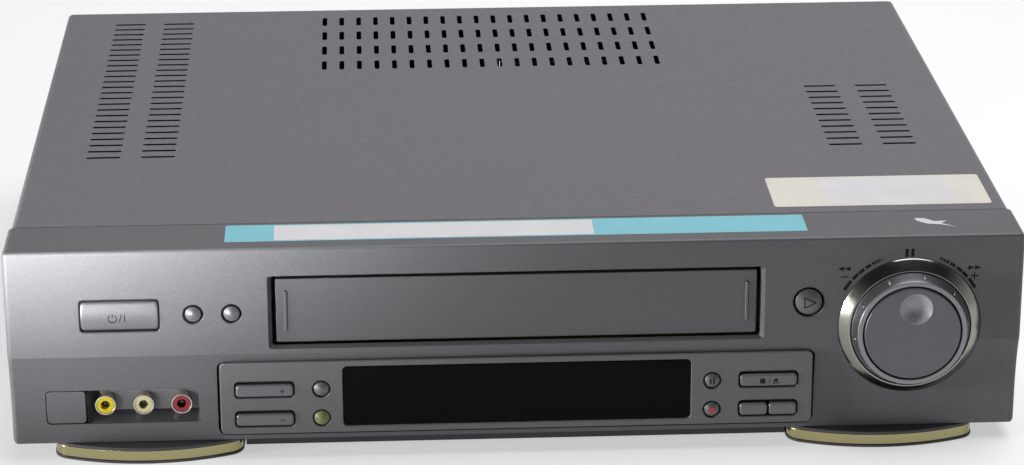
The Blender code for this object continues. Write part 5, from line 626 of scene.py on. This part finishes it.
seat = [(24.9, 9), (24.9, 0.5), (25.1, 0.3), (28.2, 0.3), (28.45, 0.4), (28.6, 0.7)]
seat += [(28.8, 1.6), (29.0, 2.8), (29.2, 4.3), (29.4, 5.4)]
piece("dial_seat", turned(*DIAL, seat, 96, OPEN), "bezel_paint")
trim = [(23.9, 5), (23.9, -3.3)]
trim += arc((24.25, -3.3), (0.35, 0.35), 180, 255, 4)
trim += [(24.5, -3.6), (24.8, -3.35), (25.8, -2.42), (26.8, -1.5), (27.8, -0.56), (28.2, -0.1)]
trim += [(28.35, 0.1), (28.4, 0.3)]
piece("dial_trim", turned(*DIAL, trim, 128, OPEN), "bright_plating", "dial_bezel", sharp=60)

# %% Shuttle ring
SHADED_FROM = 21.8
shuttle = [(22.0, 3), (23.2, 3), (23.5, 2.6), (23.5, -3.4)]
shuttle += arc((23.1, -3.5), (0.4, 0.35), 0, -80, 3)
shuttle += [(22.6, -5.4), (22.1, -7.4), (21.75, -8.2)]
shuttle += arc((21.3, -8.25), (0.45, 0.45), -10, -90, 4)
shuttle += arc((20.1, -8.25), (0.45, 0.45), -90, -170, 4)
shuttle += [(19.6, -7.6), (19.6, -2)]
shuttle_mesh = turned(*DIAL, shuttle, 128, OPEN)
piece("shuttle_dial", shuttle_mesh, "dial_metal", "shuttle_ring", finish="shuttle_metal")
# Painted shade: faces of the outer cone take the darker dial lacquer, for the shadow that falls
# there.
shuttle_mesh.materials.append(FINISH["dial_metal"])
dial_centre = at(DIAL[0], 0, DIAL[1])
for face in shuttle_mesh.polygons:
    away = face.center - dial_centre
    if math.hypot(away.x, away.z) > SHADED_FROM * MM:
        face.material_index = 1


# %% Shuttle grips
def merged(meshes):
    """Several meshes as one."""
    shape = bmesh.new()
    for mesh in meshes:
        shape.from_mesh(mesh)
        bpy.data.meshes.remove(mesh)
    return as_mesh(shape)


GRIP_FOOT = Vector((23.2, -4.4))
GRIP_HEAD = Vector((22.15, -7.2))
grips = []
for index in range(10):
    turn = Matrix.Rotation(math.radians(7 + 36 * index), 2)
    grip_rings = []
    for share, width in ((0, 0.15), (0.12, 0.42), (0.5, 0.5), (0.88, 0.42), (1, 0.15)):
        radius, depth = GRIP_FOOT.lerp(GRIP_HEAD, share)
        spots = [turn @ Vector((radius + 0.8 * u, v)) for u, v in circle(0, 0, width, 12)]
        grip_rings.append([at(DIAL[0] + spot.x, depth, DIAL[1] + spot.y) for spot in spots])
    grips.append(ring_mesh(grip_rings))
piece("shuttle_grips", merged(grips), "dial_metal", body="shuttle_ring", finish="shuttle_metal")

# %% Jog dial
DIMPLE = (DIAL[0] + 1.1, DIAL[1] + 10.2)
rim = [(19.1, -4.0), (19.1, -8.45), (19.0, -8.75), (18.8, -8.93), (18.5, -9.0)]
face = upright_plate([circle(*DIAL, 18.5, 128), circle(*DIMPLE, 6.5, 64)], -9.0, 0.2)
jog_mesh = merged([turned(*DIAL, rim, 128, OPEN), face])
piece("jog_disc", jog_mesh, "dial_metal", "jog_dial", sharp=40)
bowl = [(6.5, -8.98), (6.38, -8.95), (6.25, -8.84)]
bowl += [(6.25 * (1 - i / 16), -8.84 + 2.6 * (1 - (1 - i / 16) ** 2)) for i in range(1, 16)]
bowl.append((0.05, -6.24))
bowl_mesh = turned(*DIMPLE, bowl, 64, END_CLOSED)
# The dimple's lighter lacquer is a painted sheen on the bowl.
piece("jog_dimple", bowl_mesh, "dial_metal", body="jog_dial", finish="dimple_sheen", sharp=50)

# %% [markdown]
# ## Flap
#
# The cassette flap is a flat moulding with a rounded rim and two raised bars. It is a stack of
# rounded rectangles, so its edge can roll over in steps.


# %% Flap
def block(across, height, width, tall, layers, steps=6, caps=(True, True)):
    """A rounded block in layers: what its sides lose there, its corners' radius and its depth."""
    stack = [
        (rounded(across, height, width - less, tall - less, radius, steps), depth)
        for less, radius, depth in layers
    ]
    return upright_stack(stack, caps)


flap = [
    block(0, 55.5, 189.2, 26.6, [(0, 0.8, 4.8), (0, 0.8, 2.5), (0.3, 0.8, 2.2), (0.8, 0.7, 2.1)])
]
for across in (-90.8, 90.8):
    flap.append(block(across, 55.45, 1.5, 17.1, [(0, 0.74, 2.3), (0, 0.74, 1.6), (0.7, 0.39, 1.2)]))
piece("flap", merged(flap), "panel_paint", "cassette_door", finish="door_paint")

# %% [markdown]
# ## Control panel and display window
#
# The panel is a tray that stands out of the hollow with a softly rounded rim. A 2D curve with holes
# makes its front, and a ring its sides. The window is set 0.4 mm back, and a seam 0.3 mm wide runs
# round it.

# %% Control panel
PANEL_MIDDLE = 19.3
UPPER_ROW = 22.7
LOWER_ROW = 10.3
ROUND_ACROSS = 77.5
holes = [rounded(0, PANEL_MIDDLE, 138.0, 25.4, 1.9)]
for side in (-1, 1):
    for height in (UPPER_ROW, LOWER_ROW):
        holes.append(circle(side * ROUND_ACROSS, height, 3.5))
        holes.append(rounded(side * 99.9, height + 0.1, 23.6, 6.8, 1.7))
panel = [
    upright_plate([rounded(0, PANEL_MIDDLE, 234.8, 30.6, 2.3, 10)] + holes, 0, 2.2, 0.45),
    block(0, PANEL_MIDDLE, 234.7, 30.5, [(0, 2.25, 0.6), (0, 2.25, 7.3)], 10, OPEN),
]
piece("panel", merged(panel), "panel_paint", "control_panel")
layers = [(0, 1.6, 3.4), (0, 1.6, 0.6), (0.2, 1.5, 0.45), (0.6, 1.3, 0.4)]
window = block(0, PANEL_MIDDLE, 137.4, 24.8, layers, 8)
piece("window", window, "smoked_acrylic", "display_window")

# %% [markdown]
# ## Buttons
#
# A round cap is a dome: an arc turned round its axis. A wide cap is a rounded rectangle that
# shrinks as it rises. The power cap is a slice of a lying cylinder, made of rings whose points move
# forward by a parabola of their height.


# %% Round caps
def round_cap(name, across, height, radius, node, slot="button_paint", rise=1.1):
    """A domed cap with a rounded shoulder, whose middle stands out by a rise."""
    profile = [(radius, 6.0), (radius, 0.55)]
    profile += arc((radius - 0.35, 0.45), (0.35, 0.35), 0, -70, 4)
    rim_radius, rim_depth = profile[-1]
    for step in range(1, 11):
        left = 1 - step / 10
        profile.append((max(rim_radius * left, 0.05), rim_depth - rise * (1 - left**2)))
    piece(name, turned(across, height, profile, 48, END_CLOSED), slot, node, sharp=60)


round_cap("timer_cap", -126.8, BUTTON_ROW, 3.15, "timer_button")
round_cap("review_cap", -111.8, BUTTON_ROW, 3.15, "review_button")
round_cap("play_cap", 115.1, BUTTON_ROW, 5.3, "play_button", rise=1.6)
round_cap("synchro_cap", -ROUND_ACROSS, UPPER_ROW, 3.0, "synchro_edit_button")
round_cap("link_cap", -ROUND_ACROSS, LOWER_ROW, 3.0, "record_link_button", "green_plastic")
round_cap("pause_cap", ROUND_ACROSS, UPPER_ROW, 3.0, "pause_button")
round_cap("record_cap", ROUND_ACROSS, LOWER_ROW, 3.0, "record_button")


# %% Wide caps
def wide_cap(name, left, right, height, node):
    """A flat cap with softly rolled edges."""
    layers = [(0, 1.3, 6), (0, 1.3, -0.2), (0.24, 1.3, -0.55), (0.8, 1.3, -0.82), (1.8, 1.3, -0.9)]
    mesh = block((left + right) / 2, height, right - left, 5.1, layers, caps=END_CLOSED)
    piece(name, mesh, "panel_paint", node, finish="button_paint", sharp=50)


wide_cap("channel_up_cap", -111.2, -88.6, UPPER_ROW, "channel_up_button")
wide_cap("channel_down_cap", -111.2, -88.6, LOWER_ROW, "channel_down_button")
wide_cap("stop_cap", 88.6, 111.2, UPPER_ROW, "stop_eject_button")
wide_cap("insert_cap", 88.6, 99.65, LOWER_ROW, "insert_button")
wide_cap("dub_cap", 100.15, 111.2, LOWER_ROW, "audio_dub_button")

# %% Power cap
POWER_ACROSS = -155.5
CORNER = 1.5
rings = []
for across, share in drawn_in(15.1, CORNER, 8):
    half = 6.2 - CORNER * share
    ring = [at(POWER_ACROSS + across, 6, BUTTON_ROW - half)]
    for row in range(17):
        rise = -1 + row / 8
        lip = 0.35 * max(0, abs(rise) * half - half + 0.5) ** 2 / 0.25
        front = -0.6 + 1.2 * rise * rise + lip + 0.25 * share**2
        ring.append(at(POWER_ACROSS + across, front, BUTTON_ROW + half * rise))
    ring.append(at(POWER_ACROSS + across, 6, BUTTON_ROW + half))
    rings.append(ring)
piece("power_cap", ring_mesh(rings), "button_paint", "power_button", sharp=60)

# %% [markdown]
# ## Front sockets
#
# A phono socket is a nickel barrel with a coloured insulator and a bore that a black cone closes,
# painted shade for the dark inside the hole. Three of them stand in a pocket beside a plain plate.
# Barrel, insulator and bore are turned apart, so each has its own finish. Pocket and plate are
# stacks of outlines, moved back afterwards with the curve of the hollow. The pocket's left wall takes
# black plastic, painted shade for the shadow in that end, and its sill a darker plastic than its
# end, so its faces take one of three finishes by where they lie.


# %% Phono sockets
def phono(name, across, height, shells, core, bore_shade_cone, colour, node=None):
    """A socket in three pieces: its nickel shells, its coloured core and a black cone in its bore,
    painted shade for the dark inside the hole.
    """
    barrel = merged([turned(across, height, shell, 40, OPEN) for shell in shells])
    piece(name.format("barrel"), barrel, "zinc_steel", finish="nickel_shell")
    piece(name.format("core"), turned(across, height, core, 40, OPEN), colour, node)
    piece(name.format("bore"), turned(across, height, bore_shade_cone, 24), "black_plastic")


shell = [(4.15, 15.2), (4.15, 5.3), (4.05, 5.05), (3.75, 5.0), (3.6, 5.2), (3.6, 6.2)]
core = [(3.6, 6.0), (3.55, 5.35), (3.4, 5.25), (1.95, 5.25), (1.75, 5.5), (1.7, 9.0), (1.7, 13.5)]
# Painted shade: a black cone closes each bore, for the dark inside the hole.
bore_shade_cone = [(1.72, 13.0), (1.1, 12.0), (0.9, 8.0), (0.7, 7.0), (0.2, 6.8)]
for name, across, colour in (
    ("video_jack", -163.0, "yellow_plastic"),
    ("audio_left_jack", -147.95, "white_plastic"),
    ("audio_right_jack", -132.9, "red_plastic"),
):
    phono(name + "_{}", across, 15.5, [shell], core, bore_shade_cone, colour, name)


# %% Socket pocket and blank plate
def bent(mesh):
    """Moves a mesh back with the hollow, so that it follows the lower front."""
    for vertex in mesh.vertices:
        vertex.co.y += lower_depth((vertex.co.z - BEZEL_Z) / MM) * MM
    return mesh


pocket = [
    (rounded(-147.9, 15.3, 44.6, 14.5, 1.8, 8), 0.15),
    (rounded(-147.9, 15.3, 44.2, 14.1, 1.7, 8), 0.4),
    (rounded(-145.7, 16.9, 39.4, 10.6, 0.8, 8), 5.6),
]
pocket_mesh = bent(upright_stack(pocket, END_CLOSED))
piece("socket_pocket", pocket_mesh, "black_plastic", "front_jack_housing", finish="grey_plastic")
# Painted shade: the left wall takes black plastic for the shadow there; the sill takes the darker
# foot plastic.
pocket_mesh.materials.append(FINISH["black_plastic"])
pocket_mesh.materials.append(FINISH["foot_plastic"])
for face in pocket_mesh.polygons:
    if face.center.x < -0.1655 and abs(face.normal.x) > 0.1:
        face.material_index = 1
    elif face.center.z < BEZEL_Z + 0.0115 and abs(face.normal.z) > 0.2:
        face.material_index = 2
layers = [(0, 1.6, 2.6), (0, 1.6, 0.35), (0.3, 1.5, 0.1), (0.7, 1.4, 0.0)]
blank_mesh = bent(block(-178.3, 15.3, 15.5, 14.0, layers))
piece("blank_plate", blank_mesh, "bezel_paint", "jack_blank_plate")

# %% [markdown]
# ## Front feet
#
# Each foot is a bowed block with a lip above and below, and a metal band between them. The bow is
# an arc with many steps, so the band mirrors the studio in long soft streaks. At each end it turns
# back along a short curve.


# %% Feet
def level_stack(layers):
    """Level outlines at growing heights, joined. A layer is an outline and its height."""
    return ring_mesh([[at(u, v, height) for u, v in line] for line, height in layers])


def foot_front(extra, steps=40):
    """The bowed front with its rounded ends as (across, depth) points, pushed out by an extra."""
    half, bulge, corner = 36.3, 8.4, 4.6
    radius = (half * half + bulge * bulge) / (2 * bulge)
    swing = math.degrees(math.asin((half - corner) / radius))
    reach = radius + extra
    points = arc((0, radius - 1.2), (reach, reach), -90 - swing, -90 + swing, steps)
    first = Vector(points[-1])
    tip = Vector((half + 0.1 + extra, bulge - 1.4 - extra))
    last = Vector((half + 0.5 + extra, bulge + 3.2))
    turn = []
    for step in range(1, 9):
        share = step / 8
        turn.append(tuple(first.lerp(tip, share).lerp(tip.lerp(last, share), share)))
    return [(-u, v) for u, v in turn[::-1]] + points + turn


lips = [(0.6, -7.0), (0.8, -6.8), (0.8, -6.1), (0.65, -5.95), (-0.2, -5.9), (-0.2, -1.6)]
lips += [(0.5, -1.55), (0.8, -1.45), (0.8, -0.5), (0.7, -0.3)]
band = [(0.0, -5.85), (0.35, -5.8), (0.42, -5.6), (0.42, -1.95), (0.35, -1.75), (0.0, -1.7)]
foot_layers = []
for extra, height in lips:
    spread = 37.2 + extra
    rear = [(spread, 24), (spread, 44), (-spread, 44), (-spread, 24)]
    foot_layers.append((foot_front(extra) + rear, height))
band_layers = [(foot_front(extra) + foot_front(-0.3)[::-1], height) for extra, height in band]
for side, word in ((-1, "left"), (1, "right")):
    shift = Matrix.Translation((side * 146.5 * MM, 0, 0))
    foot_mesh = level_stack(foot_layers)
    foot_mesh.transform(shift)
    piece("foot_" + word, foot_mesh, "black_plastic", "front_foot_" + word, finish="foot_plastic")
    band_mesh = level_stack(band_layers)
    band_mesh.transform(shift)
    piece("band_" + word, band_mesh, "gold_band", "foot_trim_" + word)

# %% [markdown]
# ## Cover
#
# The cover is one sheet of steel bent over both sides, with rows of pressed slots. Its top is a
# filled curve: the slots are holes in the outline, with round ends, and the curve's bevel gives
# each a rolled lip. The bends and sides are a strip drawn out from front to back. The faces inside
# the slots take a near-black finish, painted shade for the shadow that falls in the slots.


# %% Cover
def flat_plate(outlines, bottom, thickness, bevel=0.0):
    """Filled (across, depth) outlines that lie flat with their underside at a height."""
    middle = Matrix.Translation(at(0, 0, bottom + thickness / 2))
    return filled(outlines, thickness, middle, bevel)


SLOT_PITCH = 8.08
slots = []
for side, rows in ((-1, 25), (1, 11)):
    for column in (145.1, 168.0):
        for row in range(rows):
            depth = 112.3 + SLOT_PITCH * row
            slots.append(rounded(side * column, depth, 14.4, 2.0, 0.98, 4))
for column in range(20):
    for row in range(4):
        slots.append(rounded((column - 9.5) * 8, 236.5 + 23.1 * row, 2.2, 12.8, 1.08, 4))
top_outline = [(-196.62, 29), (196.62, 29), (196.62, 325), (-196.62, 325)]
sheets = [flat_plate([top_outline] + slots, 81.2, 1.2, 0.08)]
outside = [(199, -3.6), (199, 20), (199, 50)] + arc((196.5, 79.9), (2.5, 2.5), 0, 90, 10)
inside = arc((196.5, 79.9), (1.3, 1.3), 90, 0, 10) + [(197.8, -3.6), (197.95, -3.8), (198.85, -3.8)]
for side in (-1, 1):
    sheets.append(ring_mesh([[at(side * u, d, v) for u, v in outside + inside] for d in (29, 325)]))
for across in (-120, 120):
    tab = [rounded(across, 75.8, 14, 11, 2.0), circle(across, 75.8, 1.8, 24)]
    sheets.append(upright_plate(tab, 323.8, 1.2, 0.1))
cover_mesh = merged(sheets)
piece("cover", cover_mesh, "cover_paint", "top_cover")
# Painted shade: the slot walls take a near-black finish, for the shadow inside the slots.
cover_mesh.materials.append(FINISH["slot_wall_shade"])
for face in cover_mesh.polygons:
    among_slots = abs(face.center.x) < 0.19 and -0.06 < face.center.y < 0.158
    if among_slots and abs(face.normal.z) < 0.5 and face.center.z > 0.085:
        face.material_index = 1
print("slots in the cover", len(slots))

# %% [markdown]
# ## Chassis
#
# The tray under the recorder is folded from sheet steel with a dark coat. Its front corners are cut
# back behind the bezel, and only a tongue between the feet shows from the front. So it is made of
# flat plates: the floor with its vents, the walls and the low lips, with round posts for deck and
# board.

# %% Chassis
vents = [rounded(-152, 117.5 + 9 * row, 34, 3, 1.4, 4) for row in range(12)]
floor_outline = [(-108, 9.2), (108, 9.2), (108, 28.9), (197.4, 28.9), (197.4, 323.3)]
floor_outline += [(-197.4, 323.3), (-197.4, 28.9), (-108, 28.9)]
lip = [(-108, 9.2), (108, 9.2), (108, 28.4), (106.8, 28.4), (106.8, 10.4), (-106.8, 10.4)]
lip += [(-106.8, 28.4), (-108, 28.4)]
tray = [flat_plate([floor_outline] + vents, -4.5, 1.2, 0.15), flat_plate([lip], -3.5, 3.1, 0.15)]
for side in (-1, 1):
    tray.append(flat_plate([rounded(side * 196.8, 176.1, 1.2, 294.4, 0.1, 1)], -3.5, 15.5, 0.1))
    tray.append(flat_plate([rounded(side * 152.5, 29.5, 89, 1.2, 0.1, 1)], -3.5, 3.1, 0.1))
posts = [(side * 96, depth, 4, 12.7) for side in (-1, 1) for depth in (46, 236)]
posts += [(u, v, 3, 1.7) for u, v in ((-184, 40), (-184, 311), (0, 311), (184, 250), (184, 311))]
for across, depth, radius, top in posts:
    profile = [(radius + 0.6, -3.5), (radius + 0.6, -3.2), (radius, -2.6), (radius, top - 0.3)]
    profile.append((radius - 0.3, top))
    tray.append(level_stack([(circle(across, depth, r, 24), height) for r, height in profile]))
piece("chassis_tray", merged(tray), "dark_steel", "bottom_chassis", finish="tray_steel")

# %% [markdown]
# ## Rear sockets
#
# The photograph doesn't show the rear, so its sockets follow the usual ones. A 21-pin socket has a
# keyed well and a tongue with two rows of slots, each with a sprung contact. The aerial sockets
# stand in hexagonal nuts, with a pale insulator round the pin. The phono sockets are a white and a
# red one.


# %% 21-pin sockets
def keyed(height, width, tall, cut):
    """A socket outline cut off at one corner, so that a plug fits only one way round."""
    left, right, low, high = 34 - width / 2, 34 + width / 2, height - tall / 2, height + tall / 2
    return [(left, low), (right - cut, low), (right, high - cut), (right, high), (left, high)]


for height, word in ((26, "lower"), (52, "upper")):
    spots = [(34 + 3.6 * (i - 4.5) - 1.2, height + s * 1.75) for i in range(10) for s in (-1, 1)]
    contact_slots = [rounded(u, v, 1.5, 1.9, 0.2, 2) for u, v in spots]
    well = [rounded(34, height, 52, 17, 2), keyed(height, 46, 11, 4)]
    socket = [
        upright_plate(well, 316.5, 9, 0.3),
        upright_plate([rounded(34, height, 51.6, 16.6, 2)], 304, 12.6),
        upright_plate([keyed(height, 42, 7, 2.6)] + contact_slots, 316.5, 7, 0.15),
    ]
    piece("scart_" + word, merged(socket), "black_plastic", "scart_socket_" + word)
    blades = [
        upright_plate([rounded(u, v + 0.3, 0.9, 0.5, 0.1, 2)], 316.4, 5.6, 0.05) for u, v in spots
    ]
    piece("scart_contacts_" + word, merged(blades), "zinc_steel", finish="nickel_shell")

# %% Aerial, phono and mains sockets
REAR = 323.5
insulator = [(1.25, 323.4), (1.25, 324.4), (1.6, 324.6), (4.3, 324.6), (4.7, 324.3), (4.7, 323.4)]
for height, word in ((29, "lower"), (51, "upper")):
    nut = upright_plate([circle(150, height, 8.6, 6), circle(150, height, 6.45)], REAR, 2.2, 0.25)
    piece("aerial_nut_" + word, nut, "zinc_steel", finish="nickel_shell")
    ring = turned(150, height, insulator, 48, OPEN)
    piece("aerial_insulator_" + word, ring, "cream_plastic")

block_mesh = block(92, 40, 14, 32, [(0, 1, 309.7), (0, 1, 321.7)])
piece("rear_phono_block", block_mesh, "black_plastic", "rear_audio_jacks")
shell = [(4.15, 321.5), (4.15, 331.4), (4.05, 331.65), (3.75, 331.7), (3.6, 331.5), (3.6, 330)]
base = [(5.6, REAR), (5.6, 324.1), (5.3, 324.5), (4.1, 324.5)]
core = [(3.6, 330.4), (3.55, 331.3), (3.4, 331.4), (1.95, 331.4), (1.75, 331.2), (1.7, 328)]
core.append((1.7, 323))
# Painted shade: a black cone closes each bore, for the dark inside the hole.
bore_shade_cone = [(1.72, 323.4), (1.1, 324), (0.9, 328), (0.7, 329.5), (0.2, 329.7)]
phono("rear_{}_upper", 92, 47.5, [shell, base], core, bore_shade_cone, "white_plastic")
phono("rear_{}_lower", 92, 32.5, [shell, base], core, bore_shade_cone, "red_plastic")
pin = [(1.25, 311.4), (1.25, 322), (1.05, 322.5), (0.5, 322.8)]
inlet_pins = [turned(-158 + shift, 30, pin, 24) for shift in (-4.3, 4.3)]
piece("inlet_pins", merged(inlet_pins), "zinc_steel", finish="nickel_shell")

# %% [markdown]
# ## Tape deck
#
# Behind the flap the tape runs past a leaning drum of turned aluminium, two flanged guides and a
# rubber roller, over two moulded reel spindles. All are turned parts, so their profiles are spun
# round upright axes with many steps. The drum's axis leans by 6 degrees.


# %% Drum
def spun(profile, across, depth, height, tilt=0, steps=72, caps=(True, True)):
    """A (radius, rise) profile turned round an upright axis, which may lean to the right."""
    lean = Matrix.Rotation(math.radians(tilt), 3, "Y")
    foot = at(across, depth, height)
    rings = [
        [foot + lean @ Vector((u, v, rise)) * MM for u, v in circle(0, 0, radius, steps)]
        for radius, rise in profile
    ]
    return ring_mesh(rings, caps)


DRUM = (0, 250, 22)
TILT = 6
upper = [(0.2, 33.8), (11.7, 33.8), (12, 33.5), (12, 31), (12.3, 30.8), (24.8, 30.8), (25, 31)]
upper += [(25, 33.5), (25.3, 33.8), (30.6, 33.8), (31, 33.4), (31, 16.6), (30.7, 16.3), (6, 16.3)]
upper += [(6, 8), (0.2, 8)]
piece("drum_upper", spun(upper, *DRUM, TILT, 128), "drum_aluminium", "upper_drum", sharp=40)
lean = Matrix.Rotation(math.radians(TILT), 3, "Y")
heads = []
for index in range(4):
    turn = lean @ Matrix.Rotation(index * math.pi / 2, 3, "Z")
    tip = rounded(0, 17, 2.6, 1.2, 0.2, 2)
    heads.append(
        ring_mesh(
            [[at(*DRUM) + turn @ Vector((r, u, v)) * MM for u, v in tip] for r in (30.4, 31.06)]
        )
    )
piece("drum_heads", merged(heads), "black_plastic", body="upper_drum")
lower = [(6.3, 7), (6.3, 16), (30.7, 16), (31, 15.7), (31, 6.2), (30.5, 5.9), (30.5, 0.3)]
lower += [(30.2, 0), (0.2, 0)]
drum_base = spun([(24, 14.9), (24, 15.2), (24, 26)], 0, 250, 0, steps=96)
lower_mesh = merged([spun(lower, *DRUM, TILT, 128), drum_base])
piece("drum_lower", lower_mesh, "drum_aluminium", "lower_drum", sharp=40)

# %% Reels, guides and pinch roller
reel = [(0.1, 16.5), (1.2, 16.5), (2.4, 16.2), (3.6, 15.2), (4.4, 14.2), (4.4, 5.8), (4.7, 5.5)]
reel += [(8.7, 5.5), (9, 5.2), (9, 2.9), (9.3, 2.6), (16.6, 2.6), (17, 2.2), (17, 0.3), (16.7, 0)]
reel += [(2, 0), (2, -5), (0.1, -5)]
roller = [(0.1, 41.5), (3.5, 41.5), (3.8, 41.2), (3.8, 40.2), (3.6, 40), (3, 40), (3, 23.5)]
roller += [(3.6, 23.5), (3.8, 23.3), (3.8, 22.2), (3.6, 22), (2, 22), (2, 17.8)]
for side, word in ((-1, "supply"), (1, "takeup")):
    spot = (side * 46.2, 143, 14.9)
    hub = [spun(reel, *spot)]
    for index in range(3):
        turn = Matrix.Rotation(index * math.tau / 3, 3, "Z")
        fin = []
        for reach, wide, rise in ((3.0, 1.6, 5.4), (3.0, 1.6, 11.4), (2.6, 1.2, 12.5)):
            line = rounded(reach / 2 + 1.5, 0, reach, wide, wide * 0.3, 3)
            fin.append([at(*spot) + turn @ Vector((u, v, rise)) * MM for u, v in line])
        hub.append(ring_mesh(fin))
    piece(word + "_hub", merged(hub), "cream_plastic", word + "_reel", sharp=45)
    guide = [
        spun(roller, side * 26, 197, 0, steps=48),
        flat_plate([rounded(side * 26, 197, 8, 8, 0.9)], 14.9, 3, 0.25),
        spun([(2.2, 10.5), (2.2, 15)], side * 26, 197, 0, steps=24),
    ]
    node = word + "_guide"
    piece(word + "_roller", merged(guide), "zinc_steel", node, finish="nickel_shell", sharp=40)
tyre = [(1.8, 18.8), (6.5, 18.8), (7, 19.3), (7, 36.3), (6.5, 36.8), (1.8, 36.8), (1.8, 18.8)]
piece("pinch_tyre", spun(tyre, 59.983, 215.914, 0, steps=64, caps=OPEN), "rubber", "pinch_roller")

# %% [markdown]
# ## Stickers
#
# Two paper stickers lie on the machine, one on the cover and a long one with cyan ends along the
# bezel's top, and a torn scrap of paper lies further right. They are flat sheets about 0.09 mm
# thick. The pale fields are sheets of their own, 0.04 mm higher, so each colour has clean edges.


# %% Stickers
def sticker(name, outline, finish, low, thickness=0.09):
    """A flat sheet of paper with its underside at a height."""
    piece(name, flat_plate([outline], low, thickness, 0.02), finish=finish)


sticker("white_label", rounded(149.4, 53.4, 87.9, 35.0, 1.6), "aged_paper", 82.36)
inlay = [(127.2, 38.5), (180.4, 38.5), (179.9, 69.5), (127.6, 69.5)]
sticker("label_inlay", inlay, "label_paper", 82.4)
sticker("cyan_strip", rounded(0.5, 17.25, 229, 18.5, 0.8), "cyan_paper", 82.36)
inlay = [(-94.8, 9.0), (31, 9.0), (31, 25.4), (-94.8, 25.4)]
sticker("strip_inlay", inlay, "label_paper", 82.4)
torn = [(159.6, 16.8), (163.4, 13.2), (168.2, 12.4), (173.6, 9.6), (168.8, 13.6), (171.4, 16.4)]
torn += [(166.4, 16.0), (162.8, 19.6), (159.0, 19.9)]
sticker("paper_scrap", torn, "label_paper", 82.38, 0.08)

# %% [markdown]
# ## Marks
#
# Printed marks are thin shapes that lie 0.04 mm in front of the face. Only signs that any recorder
# carries are drawn: dashes and arrows round the dial, plus and minus.

# %% Marks round the dial
MARK = 0.04
MARK_CENTRE = (154.9, 45.0)


def bar_on_ring(centre, inner, outer, first, last, steps):
    """A bent bar between two radii and two angles in degrees."""
    outside = arc(centre, (outer, outer), first, last, steps)
    return outside + arc(centre, (inner, inner), last, first, steps)


def arrow(across, height, reach, tall):
    """A triangle that points along its reach."""
    return [(across, height + tall / 2), (across + reach, height), (across, height - tall / 2)]


def cross(across, height, reach, thick, upright=True):
    """A plus sign, or a minus sign where it has no upright bar, as plain bars."""
    bars = [rounded(across, height, reach, thick, thick * 0.3, 2)]
    if upright:
        half = (reach - thick) / 2
        for shift in (-(reach + thick) / 4, (reach + thick) / 4):
            bars.append(rounded(across, height + shift, thick, half, thick * 0.3, 2))
    return bars


marks = [arrow(across, 69.1, -2.45, 2.0) for across in (128.6, 131.2)]
marks += [arrow(across, 68.6, 2.45, 2.0) for across in (177.8, 180.4)]
marks += cross(129.0, 65.7, 3.0, 0.5, False) + cross(180.4, 65.1, 3.2, 0.5)
dashes = ((55.3, 9), (46.3, 5.6), (40.2, 5.2), (33.8, 4.6), (29.2, 2.2), (26.6, 1.6), (24.6, 1.2))
dashes += ((22.9, 0.9),)
for side in (-1, 1):
    marks.append(rounded(154.4 + side * 1.15, 75.3, 1.3, 3.4, 0.1))
    for offset, length in dashes:
        middle = 90 + side * offset
        first, last = middle - length / 2, middle + length / 2
        marks.append(bar_on_ring(MARK_CENTRE, 29.35, 30.65, first, last, 6))
piece("dial_marks", upright_plate(marks, -MARK, MARK), finish="dark_print")

# %% [markdown]
# ## Marks on the caps
#
# A sign on a domed cap could be bent with the dome, but a flat one that starts below the dome meets
# it all round and looks the same at this size. Only the play sign is bent: its outline gets extra
# points, which then move back with the dome.


# %% Marks on the caps
def on_cap(name, outlines, depth, body, finish="dark_print"):
    """Ink on a cap. It starts below the dome, so it meets the curved top all round."""
    piece(name, upright_plate(outlines, depth, 0.3), body=body, finish=finish)


power_sign = [
    bar_on_ring((-158.2, 54.6), 1.47, 1.83, 125, 415, 20),
    rounded(-158.2, 55.7, 0.36, 1.7, 0.1, 2),
    [(-155.75, 53.0), (-155.4, 53.0), (-154.35, 56.4), (-154.7, 56.4)],
    rounded(-153.4, 54.7, 0.38, 3.2, 0.1, 2),
]
on_cap("power_sign", power_sign, -0.62, "power_button")
on_cap("channel_up_sign", cross(-92.9, 22.5, 1.9, 0.34), -0.92, "channel_up_button")
on_cap("channel_down_sign", cross(-92.9, 10.1, 2.1, 0.34, False), -0.92, "channel_down_button")
pause_sign = [rounded(77.4 + shift, 22.5, 0.7, 2.1, 0.1, 2) for shift in (-0.65, 0.65)]
on_cap("pause_sign", pause_sign, -1.0, "pause_button")
on_cap("record_sign", [circle(77.5, 10.2, 1.15, 32)], -1.0, "record_button", "red_print")
stop_signs = [
    rounded(97.5, 22.4, 2.1, 2.1, 0.1, 2),
    [(99.85, 21.3), (100.1, 21.3), (100.85, 23.5), (100.6, 23.5)],
    [(101.6, 22.2), (104.0, 22.2), (102.8, 23.7)],
    rounded(102.8, 21.55, 2.4, 0.5, 0.1, 2),
]
on_cap("stop_sign", stop_signs, -0.92, "stop_eject_button")


# %% Play sign
def dense(corners, steps=12):
    """A closed outline with extra points on each side."""
    points = []
    for first, second in zip(corners, corners[1:] + corners[:1]):
        for step in range(steps):
            points.append(tuple(Vector(first).lerp(Vector(second), step / steps)))
    return points


outer = dense([(113.1, 57.9), (113.1, 52.9), (118.3, 55.4)])
inner = dense([(113.55, 57.15), (113.55, 53.65), (117.2, 55.4)])
play_mesh = upright_plate([outer, inner], -0.03, 0.25)
for vertex in play_mesh.vertices:
    away = (vertex.co - at(115.1, 0, BUTTON_ROW)) / MM
    vertex.co.y += (0.12 - 1.6 * (1 - (away.x**2 + away.z**2) / 5.07**2)) * MM
piece("play_sign", play_mesh, body="play_button", finish="dark_print")

# %% [markdown]
# ## Finish
#
# The picture keeps the standard view transform, without a tone curve.

# %% Finish
bpy.context.scene.view_settings.view_transform = "Standard"
